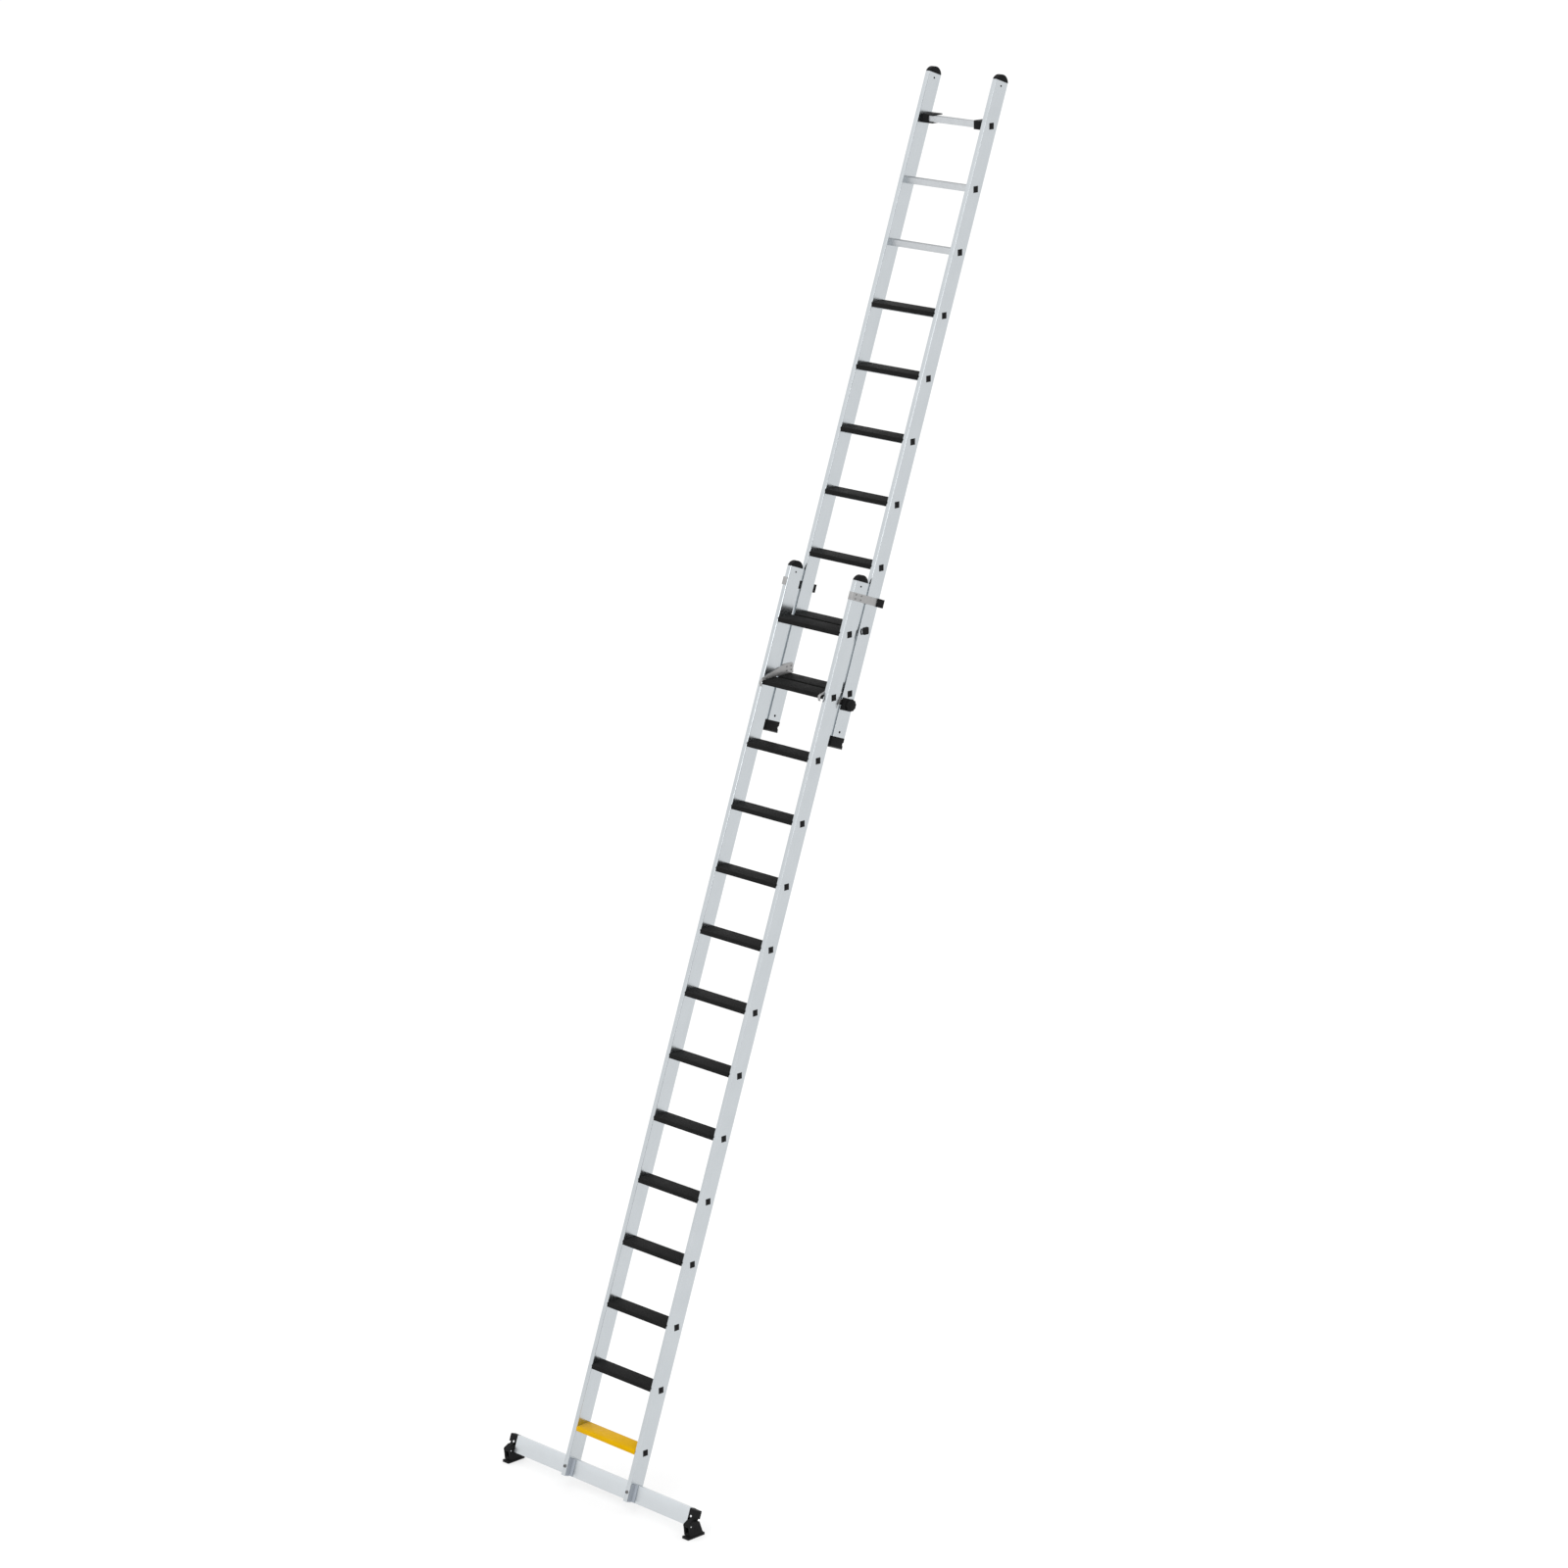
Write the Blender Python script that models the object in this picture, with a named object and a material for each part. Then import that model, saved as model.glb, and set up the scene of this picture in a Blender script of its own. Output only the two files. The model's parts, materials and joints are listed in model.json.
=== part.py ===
"""Two-section extension ladder with step treads, guide straps, hooks, a section lock and a stabiliser bar.

Metres, +Z up. The ladder leans back at its climbing angle with both soles flat on z = 0.
Each section has a frame of its own: x runs across, d from the front face to the back, l up the stile,
and l = 0 is the lowest rung of that section.
"""
import math

import bmesh
import bpy
from mathutils import Matrix, Vector

# ---- driving dimensions ----
LEAN = math.radians(20.0)          # angle between the stiles and the vertical
PITCH = 0.280                      # rung to rung, along the stile
WIDTH = 0.424                      # over the outer faces of the stiles
STILE_THICK = 0.024                # across
STILE_DEEP = 0.077                 # front to back
WALL = 0.002                       # extruded aluminium walls
SECTION_GAP = 0.015                # between the two sections
GAP = 0.0003                       # between pieces that touch
BASE_RUNGS = 14
UPPER_RUNGS = 10
UPPER_TREADS = 7                   # the rungs above these stay bare
LOWEST_RUNG_HEIGHT = 0.252         # the first rung's centre above the ground
LOWEST_RUNG_BACK = -1.0483         # puts the origin under the middle of the ladder
RUNG = 0.028                       # square rung tube
RUNG_BORE = 0.0248
RUNG_DEPTH = 0.0405                # rung centre behind the front face
TREAD_FRONT = -0.042               # tread edges, measured from the rung centre
TREAD_BACK = 0.040
TREAD_TOP = 0.0165
TREAD_LIP = -0.0037
TREAD_THICK = 0.0026
BASE_TAIL = 0.2215                 # stile below the lowest rung, and above the highest
BASE_HEAD = 0.233
UPPER_TAIL = 0.194
UPPER_HEAD = 0.198
CAP_HEIGHT = 0.029
FOOT_HEIGHT = 0.049
OUTER = WIDTH / 2
INNER = OUTER - STILE_THICK
STILE_X = OUTER - STILE_THICK / 2
SECTION_STEP = STILE_DEEP + SECTION_GAP          # front face to front face
LEVEL_RISE = SECTION_STEP * math.tan(LEAN)       # brings the paired treads level
UPPER_START = 12 * PITCH + LEVEL_RISE            # the upper section's lowest rung, in the base frame

# stabiliser bar, in the base frame
BAR_FRONT = 0.029
BAR_THICK = 0.025
BAR_TALL = 0.0777
BAR_MIDDLE = -0.17985
BAR_REACH = 0.5555
SHOE_INNER = 0.5604
SHOE_OUTER = 0.6006
SHOE_X = (SHOE_INNER + SHOE_OUTER) / 2
CHEEK = 0.0093                     # thickness of the shoe's cheeks
PIVOT_BACK = -0.097                # pitch pin, behind and above the lowest rung's point on the ground
PIVOT_HEIGHT = 0.058
BARREL = 0.009
ROLL_HEIGHT = 0.019                # the pin that lets the sole rock sideways
SOLE_FRONT = -0.1146
SOLE_BACK = -0.0156
SOLE_THICK = 0.0105

for old in list(bpy.data.objects):
    bpy.data.objects.remove(old, do_unlink=True)

parts = bpy.data.collections.new("extension_ladder")
cutters = bpy.data.collections.new("cutters")
bpy.context.scene.collection.children.link(parts)
bpy.context.scene.collection.children.link(cutters)


def finish(name, colour, roughness, metallic=0.0):
    material = bpy.data.materials.new(name)
    material.use_nodes = True
    shader = material.node_tree.nodes["Principled BSDF"]
    shader.inputs["Base Color"].default_value = (*colour, 1.0)
    shader.inputs["Roughness"].default_value = roughness
    shader.inputs["Metallic"].default_value = metallic
    material.diffuse_color = (*colour, 1.0)
    return material


FINISHES = {
    "aluminium": ((0.66, 0.69, 0.71), 0.38, 1.0),
    "steel": ((0.52, 0.51, 0.50), 0.32, 1.0),
    "black_plastic": ((0.022, 0.022, 0.024), 0.55, 0.0),
    "black_tread": ((0.020, 0.020, 0.021), 0.80, 0.0),
    "yellow_plastic": ((0.72, 0.42, 0.010), 0.30, 0.0),
}


# ---- frames ----
def empty(name, parent, place, level=False):
    holder = bpy.data.objects.new(name, None)
    bpy.context.scene.collection.objects.link(holder)
    return put(holder, parent, place, level)


def put(thing, parent, place, level=False):
    """Place a thing in its parent's frame. A level thing is turned back from the lean."""
    thing.parent = parent
    thing.location = place
    if level:
        thing.rotation_euler.x += LEAN
    return thing


lowest = Vector((0.0, LOWEST_RUNG_BACK, LOWEST_RUNG_HEIGHT))
back = Vector((0.0, math.cos(LEAN), -math.sin(LEAN)))
base_frame = empty("base_frame", None, lowest - back * RUNG_DEPTH)
base_frame.rotation_euler.x = -LEAN
upper_frame = empty("upper_frame", base_frame, (0.0, SECTION_STEP, UPPER_START))
ground_frame = empty("ground_frame", None, (0.0, LOWEST_RUNG_BACK, 0.0))


# ---- shapes ----
def arc(centre, radius, start, end, steps=4):
    """Points on an arc in degrees, both ends included."""
    angles = [math.radians(start + (end - start) * i / steps) for i in range(steps + 1)]
    return [(centre[0] + radius * math.cos(a), centre[1] + radius * math.sin(a)) for a in angles]


def rectangle(x0, x1, y0, y1, radius=0.0, steps=2):
    if radius == 0.0:
        return [(x0, y0), (x1, y0), (x1, y1), (x0, y1)]
    corners = [(x1 - radius, y1 - radius, 0), (x0 + radius, y1 - radius, 90),
               (x0 + radius, y0 + radius, 180), (x1 - radius, y0 + radius, 270)]
    points = []
    for x, y, turn in corners:
        points += arc((x, y), radius, turn, turn + 90, steps)
    return points


ALONG_X = Matrix(((0, 0, 1), (1, 0, 0), (0, 1, 0))).to_4x4()    # outline in d, l; thickness in x
ALONG_L = Matrix.Identity(4)                                    # outline in x, d; thickness in l
ALONG_D = Matrix(((1, 0, 0), (0, 0, -1), (0, 1, 0))).to_4x4()   # outline in x, l; thickness in d
MILLI = 1000.0


def outline_mesh(name, outlines, thickness, turn):
    """A flat outline, with any holes as further outlines, thickened evenly about its own plane.

    Three or more of its points on one line leave slivers, so the outlines below keep such points a hair apart.
    """
    curve = bpy.data.curves.new(name, "CURVE")
    curve.dimensions = "2D"
    curve.fill_mode = "BOTH"
    curve.extrude = thickness / 2 * MILLI
    for points in outlines:
        spline = curve.splines.new("POLY")
        spline.points.add(len(points) - 1)
        for knot, (x, y) in zip(spline.points, points):
            knot.co = (x * MILLI, y * MILLI, 0.0, 1.0)
        spline.use_cyclic_u = True
    holder = bpy.data.objects.new(name, curve)
    bpy.context.scene.collection.objects.link(holder)
    depsgraph = bpy.context.evaluated_depsgraph_get()
    mesh = bpy.data.meshes.new_from_object(holder.evaluated_get(depsgraph))
    bpy.data.objects.remove(holder, do_unlink=True)
    weld = bmesh.new()
    weld.from_mesh(mesh)
    bmesh.ops.remove_doubles(weld, verts=weld.verts, dist=0.001)
    bmesh.ops.recalc_face_normals(weld, faces=weld.faces)
    weld.to_mesh(mesh)
    weld.free()
    mesh.transform(turn @ Matrix.Scale(1 / MILLI, 4))
    return mesh


def round_mesh(name, radius, length, turn, sides=24):
    """A cylinder whose axis is the outline's thickness direction."""
    mesh = bpy.data.meshes.new(name)
    solid = bmesh.new()
    bmesh.ops.create_cone(solid, cap_ends=True, segments=sides, radius1=radius, radius2=radius, depth=length)
    solid.to_mesh(mesh)
    solid.free()
    mesh.transform(turn)
    return mesh


def part(name, mesh, material, parent, place, level=False):
    """One named sub-part."""
    thing = bpy.data.objects.new(name, mesh)
    parts.objects.link(thing)
    own = finish(name + "_finish", *FINISHES[material])
    mesh.materials.clear()
    mesh.materials.append(own)
    return put(thing, parent, place, level)


def guide(name, mesh, parent, place, level=False):
    """A shape that only cuts or joins another."""
    thing = bpy.data.objects.new(name, mesh)
    cutters.objects.link(thing)
    thing.display_type = "WIRE"
    thing.hide_render = True
    return put(thing, parent, place, level)


def combine(target, other, operation):
    step = target.modifiers.new(other.name, "BOOLEAN")
    step.operation = operation
    step.solver = "EXACT"
    step.object = other
    return target


def join(target, other):
    return combine(target, other, "UNION")


def cut(target, other):
    return combine(target, other, "DIFFERENCE")


def joined_boxes(name, size, places, tilt):
    """Many equal boxes in one cutter, tilted about x."""
    mesh = bpy.data.meshes.new(name)
    solid = bmesh.new()
    for place in places:
        matrix = Matrix.Translation(place) @ Matrix.Rotation(tilt, 4, "X") @ Matrix.Diagonal((*size, 1.0))
        bmesh.ops.create_cube(solid, size=1.0, matrix=matrix)
    solid.to_mesh(mesh)
    solid.free()
    return mesh


# ---- stiles ----
def stile(name, side, frame, rungs, tail, head):
    half_x = STILE_THICK / 2
    tube = [rectangle(-half_x, half_x, 0, STILE_DEEP, 0.0025),
            rectangle(-half_x + WALL, half_x - WALL, WALL, STILE_DEEP - WALL)]
    length = tail + head + (rungs - 1) * PITCH
    middle = length / 2 - tail
    solid = part(name, outline_mesh(name, tube, length, ALONG_L), "aluminium", frame,
                 (side * STILE_X, 0, middle))
    clear = RUNG + 2 * GAP
    places = [(0, RUNG_DEPTH, n * PITCH) for n in range(rungs)]
    holes = joined_boxes(name + "_rung_holes", (STILE_THICK * 2, clear, clear), places, LEAN)
    return cut(solid, guide(name + "_rung_holes", holes, frame, (side * STILE_X, 0, 0)))


def top_cap(name, side, frame, height):
    radius = (STILE_DEEP ** 2 / 4 + CAP_HEIGHT ** 2) / (2 * CAP_HEIGHT)
    spread = math.degrees(math.asin(STILE_DEEP / 2 / radius))
    dome = arc((STILE_DEEP / 2, CAP_HEIGHT - radius), radius, 90 - spread, 90 + spread, 12)
    cap = part(name, outline_mesh(name, [dome], STILE_THICK, ALONG_X), "black_plastic", frame,
               (side * STILE_X, 0, height + GAP))
    inside = WALL + GAP
    spigot = rectangle(inside, STILE_DEEP - inside, -0.026, 0.004)
    plug = outline_mesh(name + "_spigot", [spigot], STILE_THICK - 2 * inside, ALONG_X)
    return join(cap, guide(name + "_spigot", plug, frame, (side * STILE_X, 0, height + GAP)))


# ---- rungs and steps ----
def rung_outlines():
    half = RUNG / 2
    bore = RUNG_BORE / 2
    return [rectangle(-half, half, -half, half), rectangle(-bore, bore, -bore, bore)]


def tread_outline(nose):
    """Top plate, front lip with its rounded nose, a short back lip and two legs that grip the rung."""
    bite = RUNG / 2 - GAP
    leg = RUNG / 2 + TREAD_THICK
    under = TREAD_TOP - TREAD_THICK
    thin = 0.0003                  # the plate thins towards its edges
    front = arc((TREAD_FRONT + nose, TREAD_TOP - nose), nose, 180, 90, 5)
    rear = arc((TREAD_BACK - 0.003, TREAD_TOP - 0.003), 0.003, 90, 0, 3)
    lip_inside = TREAD_FRONT + TREAD_THICK
    back_inside = TREAD_BACK - TREAD_THICK
    return ([(TREAD_FRONT, TREAD_LIP)] + front + rear
            + [(TREAD_BACK, 0.004), (back_inside, 0.004), (back_inside, under + thin), (leg, under), (leg, -0.004),
               (bite, -0.004), (bite, bite), (-bite, bite), (-bite, -0.0045), (-leg, -0.0045),
               (-leg, under - thin), (lip_inside + nose / 2, under + thin / 2),
               (lip_inside, under - nose / 2), (lip_inside, TREAD_LIP)])


def rung(name, frame, number):
    return part(name, outline_mesh(name, rung_outlines(), WIDTH, ALONG_X), "aluminium", frame,
                (0, RUNG_DEPTH, (number - 1) * PITCH), level=True)


def step(name, frame, number, material, nose):
    """A rung tube with its tread clipped on, held as one solid."""
    solid = rung(name, frame, number)
    solid.data.materials.clear()
    solid.data.materials.append(finish(name + "_tread_finish", *FINISHES[material]))
    tread = outline_mesh(name + "_tread", [tread_outline(nose)], 2 * (INNER - GAP), ALONG_X)
    return join(solid, guide(name + "_tread", tread, frame, solid.location, level=True))


# ---- guide straps and pads ----
STRAP_TALL = 0.035
STRAP_THICK = 0.003
STRAP_LEVEL = 13 * PITCH + 0.164
STRAP_BACK = 0.194
PAD_FRONT = 0.155
UPPER_BACK = SECTION_STEP + STILE_DEEP


def side_points(points, side):
    """Outline points given outwards from the stile's outer face, for either side."""
    return [(side * (OUTER + x), d) for x, d in points]


def guide_strap(name, side):
    near = GAP
    far = GAP + STRAP_THICK
    bend = [(-0.021, -far), (far, -far), (far, STRAP_BACK), (near, STRAP_BACK), (near, -near), (-0.021, -near)]
    mesh = outline_mesh(name, [side_points(bend, side)], STRAP_TALL, ALONG_L)
    return part(name, mesh, "steel", base_frame, (0, 0, STRAP_LEVEL))


def guide_pad(name, side):
    near = UPPER_BACK + GAP
    slot = STRAP_BACK + GAP
    shell = STRAP_THICK + 2 * GAP
    block = [(-0.013, near), (0, near), (0, slot), (shell, slot), (shell, PAD_FRONT), (0.0075, PAD_FRONT),
             (0.0075, 0.195), (0.0045, 0.199), (-0.010, 0.199), (-0.013, 0.196)]
    mesh = outline_mesh(name, [side_points(block, side)], STRAP_TALL + 0.002, ALONG_L)
    return part(name, mesh, "black_plastic", base_frame, (0, 0, STRAP_LEVEL))


# ---- hooks, clips and the extension stop ----
HOOK_THICK = 0.003
HOOK_NOSE_WIDE = 0.013
HOOK_NOSE_OUT = 0.015              # how far the nose bulges in front of its curl
HOOK_NOSE_LOW = 0.026              # its tip, below the tread's top
HOOK_BACK = 0.047                  # behind the rung's centre
HOOK_TALL = 0.047
HOOK_CORNER = 0.007
CLIP_WIDE = 0.063
CLIP_PLATE_WIDE = 0.037            # the part of the clip that closes the rung's front
CLIP_THICK = 0.005
CLIP_ARM_BACK = 0.045              # the upper arm's end, behind the rung's centre
CLIP_LIP_BACK = 0.016              # the lower arm's end
STOP_HALF = 0.016


def hook(name, side):
    """Steel plate on the inner face of the stile. It lies on the base tread and its nose curls down over the front."""
    low = TREAD_TOP + GAP
    back_shift = -SECTION_STEP / math.cos(LEAN)          # from this rung to the base rung level with it
    lip = back_shift + TREAD_FRONT
    bend = lip - 0.004                                   # where the nose starts to curl
    top = low + HOOK_TALL
    plate = [(bend, low), (HOOK_BACK, low), (HOOK_BACK, top - HOOK_CORNER), (HOOK_BACK - HOOK_CORNER, top),
             (-0.010, top), (bend, low + 0.008)]
    x = side * (INNER - GAP - HOOK_THICK / 2)
    solid = part(name, outline_mesh(name, [plate], HOOK_THICK, ALONG_X), "steel", upper_frame,
                 (x, RUNG_DEPTH, 0), level=True)
    tip = TREAD_TOP - HOOK_NOSE_LOW
    curl = (bend, low + HOOK_THICK - HOOK_NOSE_OUT)
    outer = arc(curl, HOOK_NOSE_OUT, 90, 180, 6)
    inner = arc(curl, HOOK_NOSE_OUT - HOOK_THICK, 180, 90, 6)
    nose = ([(lip + 0.014, low), (lip + 0.014, low + HOOK_THICK)] + outer
            + [(bend - HOOK_NOSE_OUT + 0.003, tip), (bend - HOOK_NOSE_OUT + 0.003 + HOOK_THICK, tip)] + inner)
    flap = outline_mesh(name + "_nose", [nose], HOOK_NOSE_WIDE, ALONG_X)
    x = side * (INNER - GAP - HOOK_NOSE_WIDE / 2)
    return join(solid, guide(name + "_nose", flap, upper_frame, (x, RUNG_DEPTH, 0), level=True))


def wall_clip(name, side):
    """C-shaped clip on the top rung. Both clips are the same part, closed at the front on its left half only."""
    near = RUNG / 2 + GAP
    far = near + CLIP_THICK
    shape = [(-far, -far), (CLIP_LIP_BACK, -far), (CLIP_LIP_BACK, -near), (-near, -near), (-near, near),
             (CLIP_ARM_BACK, near), (CLIP_ARM_BACK, far), (-far + 0.003, far), (-far, far - 0.003)]
    middle = side * (INNER - GAP - CLIP_WIDE / 2)
    level = (UPPER_RUNGS - 1) * PITCH
    clip = part(name, outline_mesh(name, [shape], CLIP_WIDE, ALONG_X), "black_plastic", upper_frame,
                (middle, RUNG_DEPTH, level), level=True)
    window = rectangle(-far - 0.002, -near + 0.0001, -near - 0.0005, near + 0.0005)
    window = outline_mesh(name + "_window", [window], CLIP_WIDE, ALONG_X)
    window = guide(name + "_window", window, upper_frame,
                   (middle + CLIP_PLATE_WIDE, RUNG_DEPTH, level), level=True)
    cut(clip, window)
    return clip


def extension_stop():
    half = STOP_HALF
    disc = rectangle(-half, half, -half, half, 0.006, 4)
    x = OUTER + GAP + 0.002
    stop = part("extension_stop", outline_mesh("extension_stop", [disc], 0.004, ALONG_X), "black_plastic",
                upper_frame, (x, RUNG_DEPTH, PITCH), level=True)
    half = RUNG_BORE / 2 - GAP
    plug = outline_mesh("extension_stop_plug", [rectangle(-half, half, -half, half)], 0.020, ALONG_X)
    return join(stop, guide("extension_stop_plug", plug, upper_frame,
                            (OUTER - 0.009, RUNG_DEPTH, PITCH), level=True))


def end_foot(name, side):
    deep = STILE_DEEP
    shape = [(0, 0), (0, -FOOT_HEIGHT), (deep, -FOOT_HEIGHT), (deep, -0.034), (deep - 0.005, -0.030),
             (deep - 0.005, -0.022), (deep, -0.018), (deep, 0)]
    low = -UPPER_TAIL - GAP
    foot = part(name, outline_mesh(name, [shape], STILE_THICK, ALONG_X), "black_plastic", upper_frame,
                (side * STILE_X, 0, low))
    inside = WALL + GAP
    spigot = rectangle(inside, deep - inside, -0.004, 0.026)
    plug = outline_mesh(name + "_spigot", [spigot], STILE_THICK - 2 * inside, ALONG_X)
    return join(foot, guide(name + "_spigot", plug, upper_frame, (side * STILE_X, 0, low)))


# ---- section lock, on the right stile only ----
LOCK_LEVEL = -0.0487               # below the upper section's lowest rung
LOCK_TALL = 0.0544
LOCK_FRONT = 0.002                 # in the upper frame
LOCK_DEEP = 0.040
TONGUE_FRONT = -0.018
TONGUE_LEVEL = -0.044
KNOB_LEVEL = -0.048
KNOB_DEPTH = 0.0342
KNOB_RADIUS = 0.0275
KNOB_THICK = 0.014
STUD_RADIUS = 0.004


def section_lock():
    block_in = OUTER + 0.0027
    block_out = OUTER + 0.022
    shape = rectangle(LOCK_FRONT, LOCK_FRONT + LOCK_DEEP, -LOCK_TALL / 2, LOCK_TALL / 2, 0.005, 3)
    block = part("lock_block", outline_mesh("lock_block", [shape], block_out - block_in, ALONG_X),
                 "black_plastic", upper_frame, ((block_in + block_out) / 2, 0, LOCK_LEVEL))
    bore = round_mesh("lock_stud_bore", STUD_RADIUS + GAP, 0.080, ALONG_X, 16)
    bore = guide("lock_stud_bore", bore, upper_frame, (OUTER, KNOB_DEPTH, KNOB_LEVEL))
    cut(block, bore)
    strip = rectangle(TONGUE_FRONT, 0.016, -0.012, 0.012)
    part("lock_tongue", outline_mesh("lock_tongue", [strip], 0.002, ALONG_X), "steel", upper_frame,
         (OUTER + 0.0004 + 0.001, 0, TONGUE_LEVEL))
    knob_in = block_out + 0.0005
    disc = round_mesh("lock_knob", KNOB_RADIUS, KNOB_THICK, ALONG_X, 32)
    knob = part("lock_knob", disc, "black_plastic", upper_frame,
                (knob_in + KNOB_THICK / 2, KNOB_DEPTH, KNOB_LEVEL))
    stud_length = knob_in + 0.004 - (OUTER + 0.001)
    stud = round_mesh("lock_stud", STUD_RADIUS, stud_length, ALONG_X, 16)
    stud = guide("lock_stud", stud, upper_frame,
                 (OUTER + 0.001 + stud_length / 2, KNOB_DEPTH, KNOB_LEVEL))
    return join(knob, stud)


# ---- stabiliser bar ----
BAR_LOW = BAR_MIDDLE - BAR_TALL / 2
BAR_HIGH = BAR_MIDDLE + BAR_TALL / 2
BAR_BACK = BAR_FRONT + BAR_THICK
BOLT_RADIUS = 0.004


def stabiliser_bar(bores):
    tube = [rectangle(BAR_FRONT, BAR_BACK, BAR_LOW, BAR_HIGH, 0.0018),
            rectangle(BAR_FRONT + WALL, BAR_BACK - WALL, BAR_LOW + WALL, BAR_HIGH - WALL)]
    bar = part("stabiliser_bar", outline_mesh("stabiliser_bar", tube, 2 * BAR_REACH, ALONG_X), "aluminium",
               base_frame, (0, 0, 0))
    for bore in bores:
        cut(bar, bore)
    return bar


def bolt_bore(name, side):
    mesh = round_mesh(name, BOLT_RADIUS + GAP, 0.110, ALONG_D, 16)
    return guide(name, mesh, base_frame, (side * STILE_X, 0.040, BAR_MIDDLE))


def fork(solid, side, bore):
    """The foot of the stile is slotted to take the bar, and drilled for its bolt."""
    low = -BASE_TAIL - 0.010
    high = BAR_HIGH + GAP
    front = BAR_FRONT - 0.0022
    slot = rectangle(front, BAR_BACK + GAP, low, high)
    mesh = outline_mesh(solid.name + "_slot", [slot], STILE_THICK * 2, ALONG_X)
    cut(solid, guide(solid.name + "_slot", mesh, base_frame, (side * STILE_X, 0, 0)))
    return cut(solid, bore)


def bar_saddle(name, side, bore):
    """Pressed channel between the bar and the stile, its ears up both sides of the stile."""
    near = STILE_THICK / 2 + GAP
    far = near + 0.0015
    plate_back = BAR_FRONT - GAP
    plate_front = plate_back - 0.0016
    seat = plate_front + 0.0002
    bend = plate_front - 0.0003
    shape = [(-0.031, plate_back), (-0.031, plate_front), (-far, bend), (-far, 0.003), (-near, 0.003),
             (-near, seat), (near, seat), (near, 0.003), (far, 0.003), (far, bend),
             (0.031, plate_front), (0.031, plate_back)]
    saddle = part(name, outline_mesh(name, [shape], BAR_TALL - 0.001, ALONG_L), "aluminium", base_frame,
                  (side * STILE_X, 0, BAR_MIDDLE))
    return cut(saddle, bore)


def bar_bolt(name, side):
    head = 0.005
    bolt = part(name, round_mesh(name, 0.0075, head, ALONG_D, 20), "steel", base_frame,
                (side * STILE_X, -GAP - head / 2, BAR_MIDDLE))
    shank = 0.084
    mesh = round_mesh(name + "_shank", BOLT_RADIUS, shank, ALONG_D, 16)
    return join(bolt, guide(name + "_shank", mesh, base_frame,
                            (side * STILE_X, shank / 2 - GAP - head / 2, BAR_MIDDLE)))


# ---- tilting shoes ----
def in_base_frame(y, z):
    """A point given behind the lowest rung and above the ground, as d and l of the base frame."""
    z -= LOWEST_RUNG_HEIGHT
    return RUNG_DEPTH + y * math.cos(LEAN) - z * math.sin(LEAN), y * math.sin(LEAN) + z * math.cos(LEAN)


HOUSING_FRONT = BAR_FRONT - 0.0005
HOUSING_BACK = BAR_BACK + 0.003
HOUSING_HIGH = BAR_HIGH - 0.004
HOUSING_LOW = BAR_LOW - 0.003
HOUSING_SPLIT = -0.178             # above this the housing is as wide as the cheeks
CHEEK_GAP = 0.0005


def centred(side, inner, outer):
    return side * (inner + outer) / 2


def shoe_housing(name, side):
    """Block on the bar's end with a plug inside the bar, a tab behind it and a barrel for the pitch pin."""
    inner = BAR_REACH + GAP
    head = [(HOUSING_FRONT, HOUSING_SPLIT), (HOUSING_BACK, HOUSING_SPLIT), (HOUSING_BACK, HOUSING_HIGH + 0.002),
            (HOUSING_FRONT + 0.006, HOUSING_HIGH + 0.002), (HOUSING_FRONT, HOUSING_HIGH)]
    housing = part(name, outline_mesh(name, [head], SHOE_OUTER - inner, ALONG_X), "black_plastic",
                   base_frame, (centred(side, inner, SHOE_OUTER), 0, 0))
    web = rectangle(HOUSING_FRONT + 0.0004, HOUSING_BACK - 0.0004, HOUSING_LOW, HOUSING_SPLIT + 0.004)
    wide = SHOE_OUTER - SHOE_INNER - 2 * CHEEK - 2 * CHEEK_GAP
    tongue = outline_mesh(name + "_web", [web], wide, ALONG_X)
    join(housing, guide(name + "_web", tongue, base_frame, (side * SHOE_X, 0, 0)))
    pivot = in_base_frame(PIVOT_BACK, PIVOT_HEIGHT)
    inside = HOUSING_FRONT + 0.002
    nose = [(inside, -0.180)] + arc(pivot, BARREL, 135, 315, 8) + [(inside, HOUSING_LOW + 0.001)]
    barrel = outline_mesh(name + "_barrel", [nose], wide, ALONG_X)
    join(housing, guide(name + "_barrel", barrel, base_frame, (side * SHOE_X, 0, 0)))
    clear = WALL + GAP
    plug = rectangle(BAR_FRONT + clear, BAR_BACK - clear, HOUSING_SPLIT + 0.001, BAR_HIGH - clear - 0.002)
    plug = outline_mesh(name + "_plug", [plug], 0.034, ALONG_X)
    join(housing, guide(name + "_plug", plug, base_frame, (side * (inner - 0.013), 0, 0)))
    tab = rectangle(BAR_BACK + GAP, HOUSING_BACK - 0.0002, HOUSING_SPLIT + 0.002, BAR_HIGH - 0.001)
    tab = outline_mesh(name + "_tab", [tab], 0.030, ALONG_X)
    join(housing, guide(name + "_tab", tab, base_frame, (side * (inner - 0.006), 0, 0)))
    bore = round_mesh(name + "_pin_bore", 0.0033, 0.060, ALONG_X, 16)
    return cut(housing, guide(name + "_pin_bore", bore, base_frame, (side * SHOE_X, *pivot)))


def shoe_frames(name, side):
    """Empties on the pitch axis and on the roll axis."""
    pitch = empty(name + "_pitch_axis", ground_frame, (side * SHOE_X, PIVOT_BACK, PIVOT_HEIGHT))
    drop = ROLL_HEIGHT - PIVOT_HEIGHT
    roll = empty(name + "_roll_axis", pitch, (0, -0.068 - PIVOT_BACK, drop))
    return pitch, roll


def from_pivot(points):
    return [(y - PIVOT_BACK, z - PIVOT_HEIGHT) for y, z in points]


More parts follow.
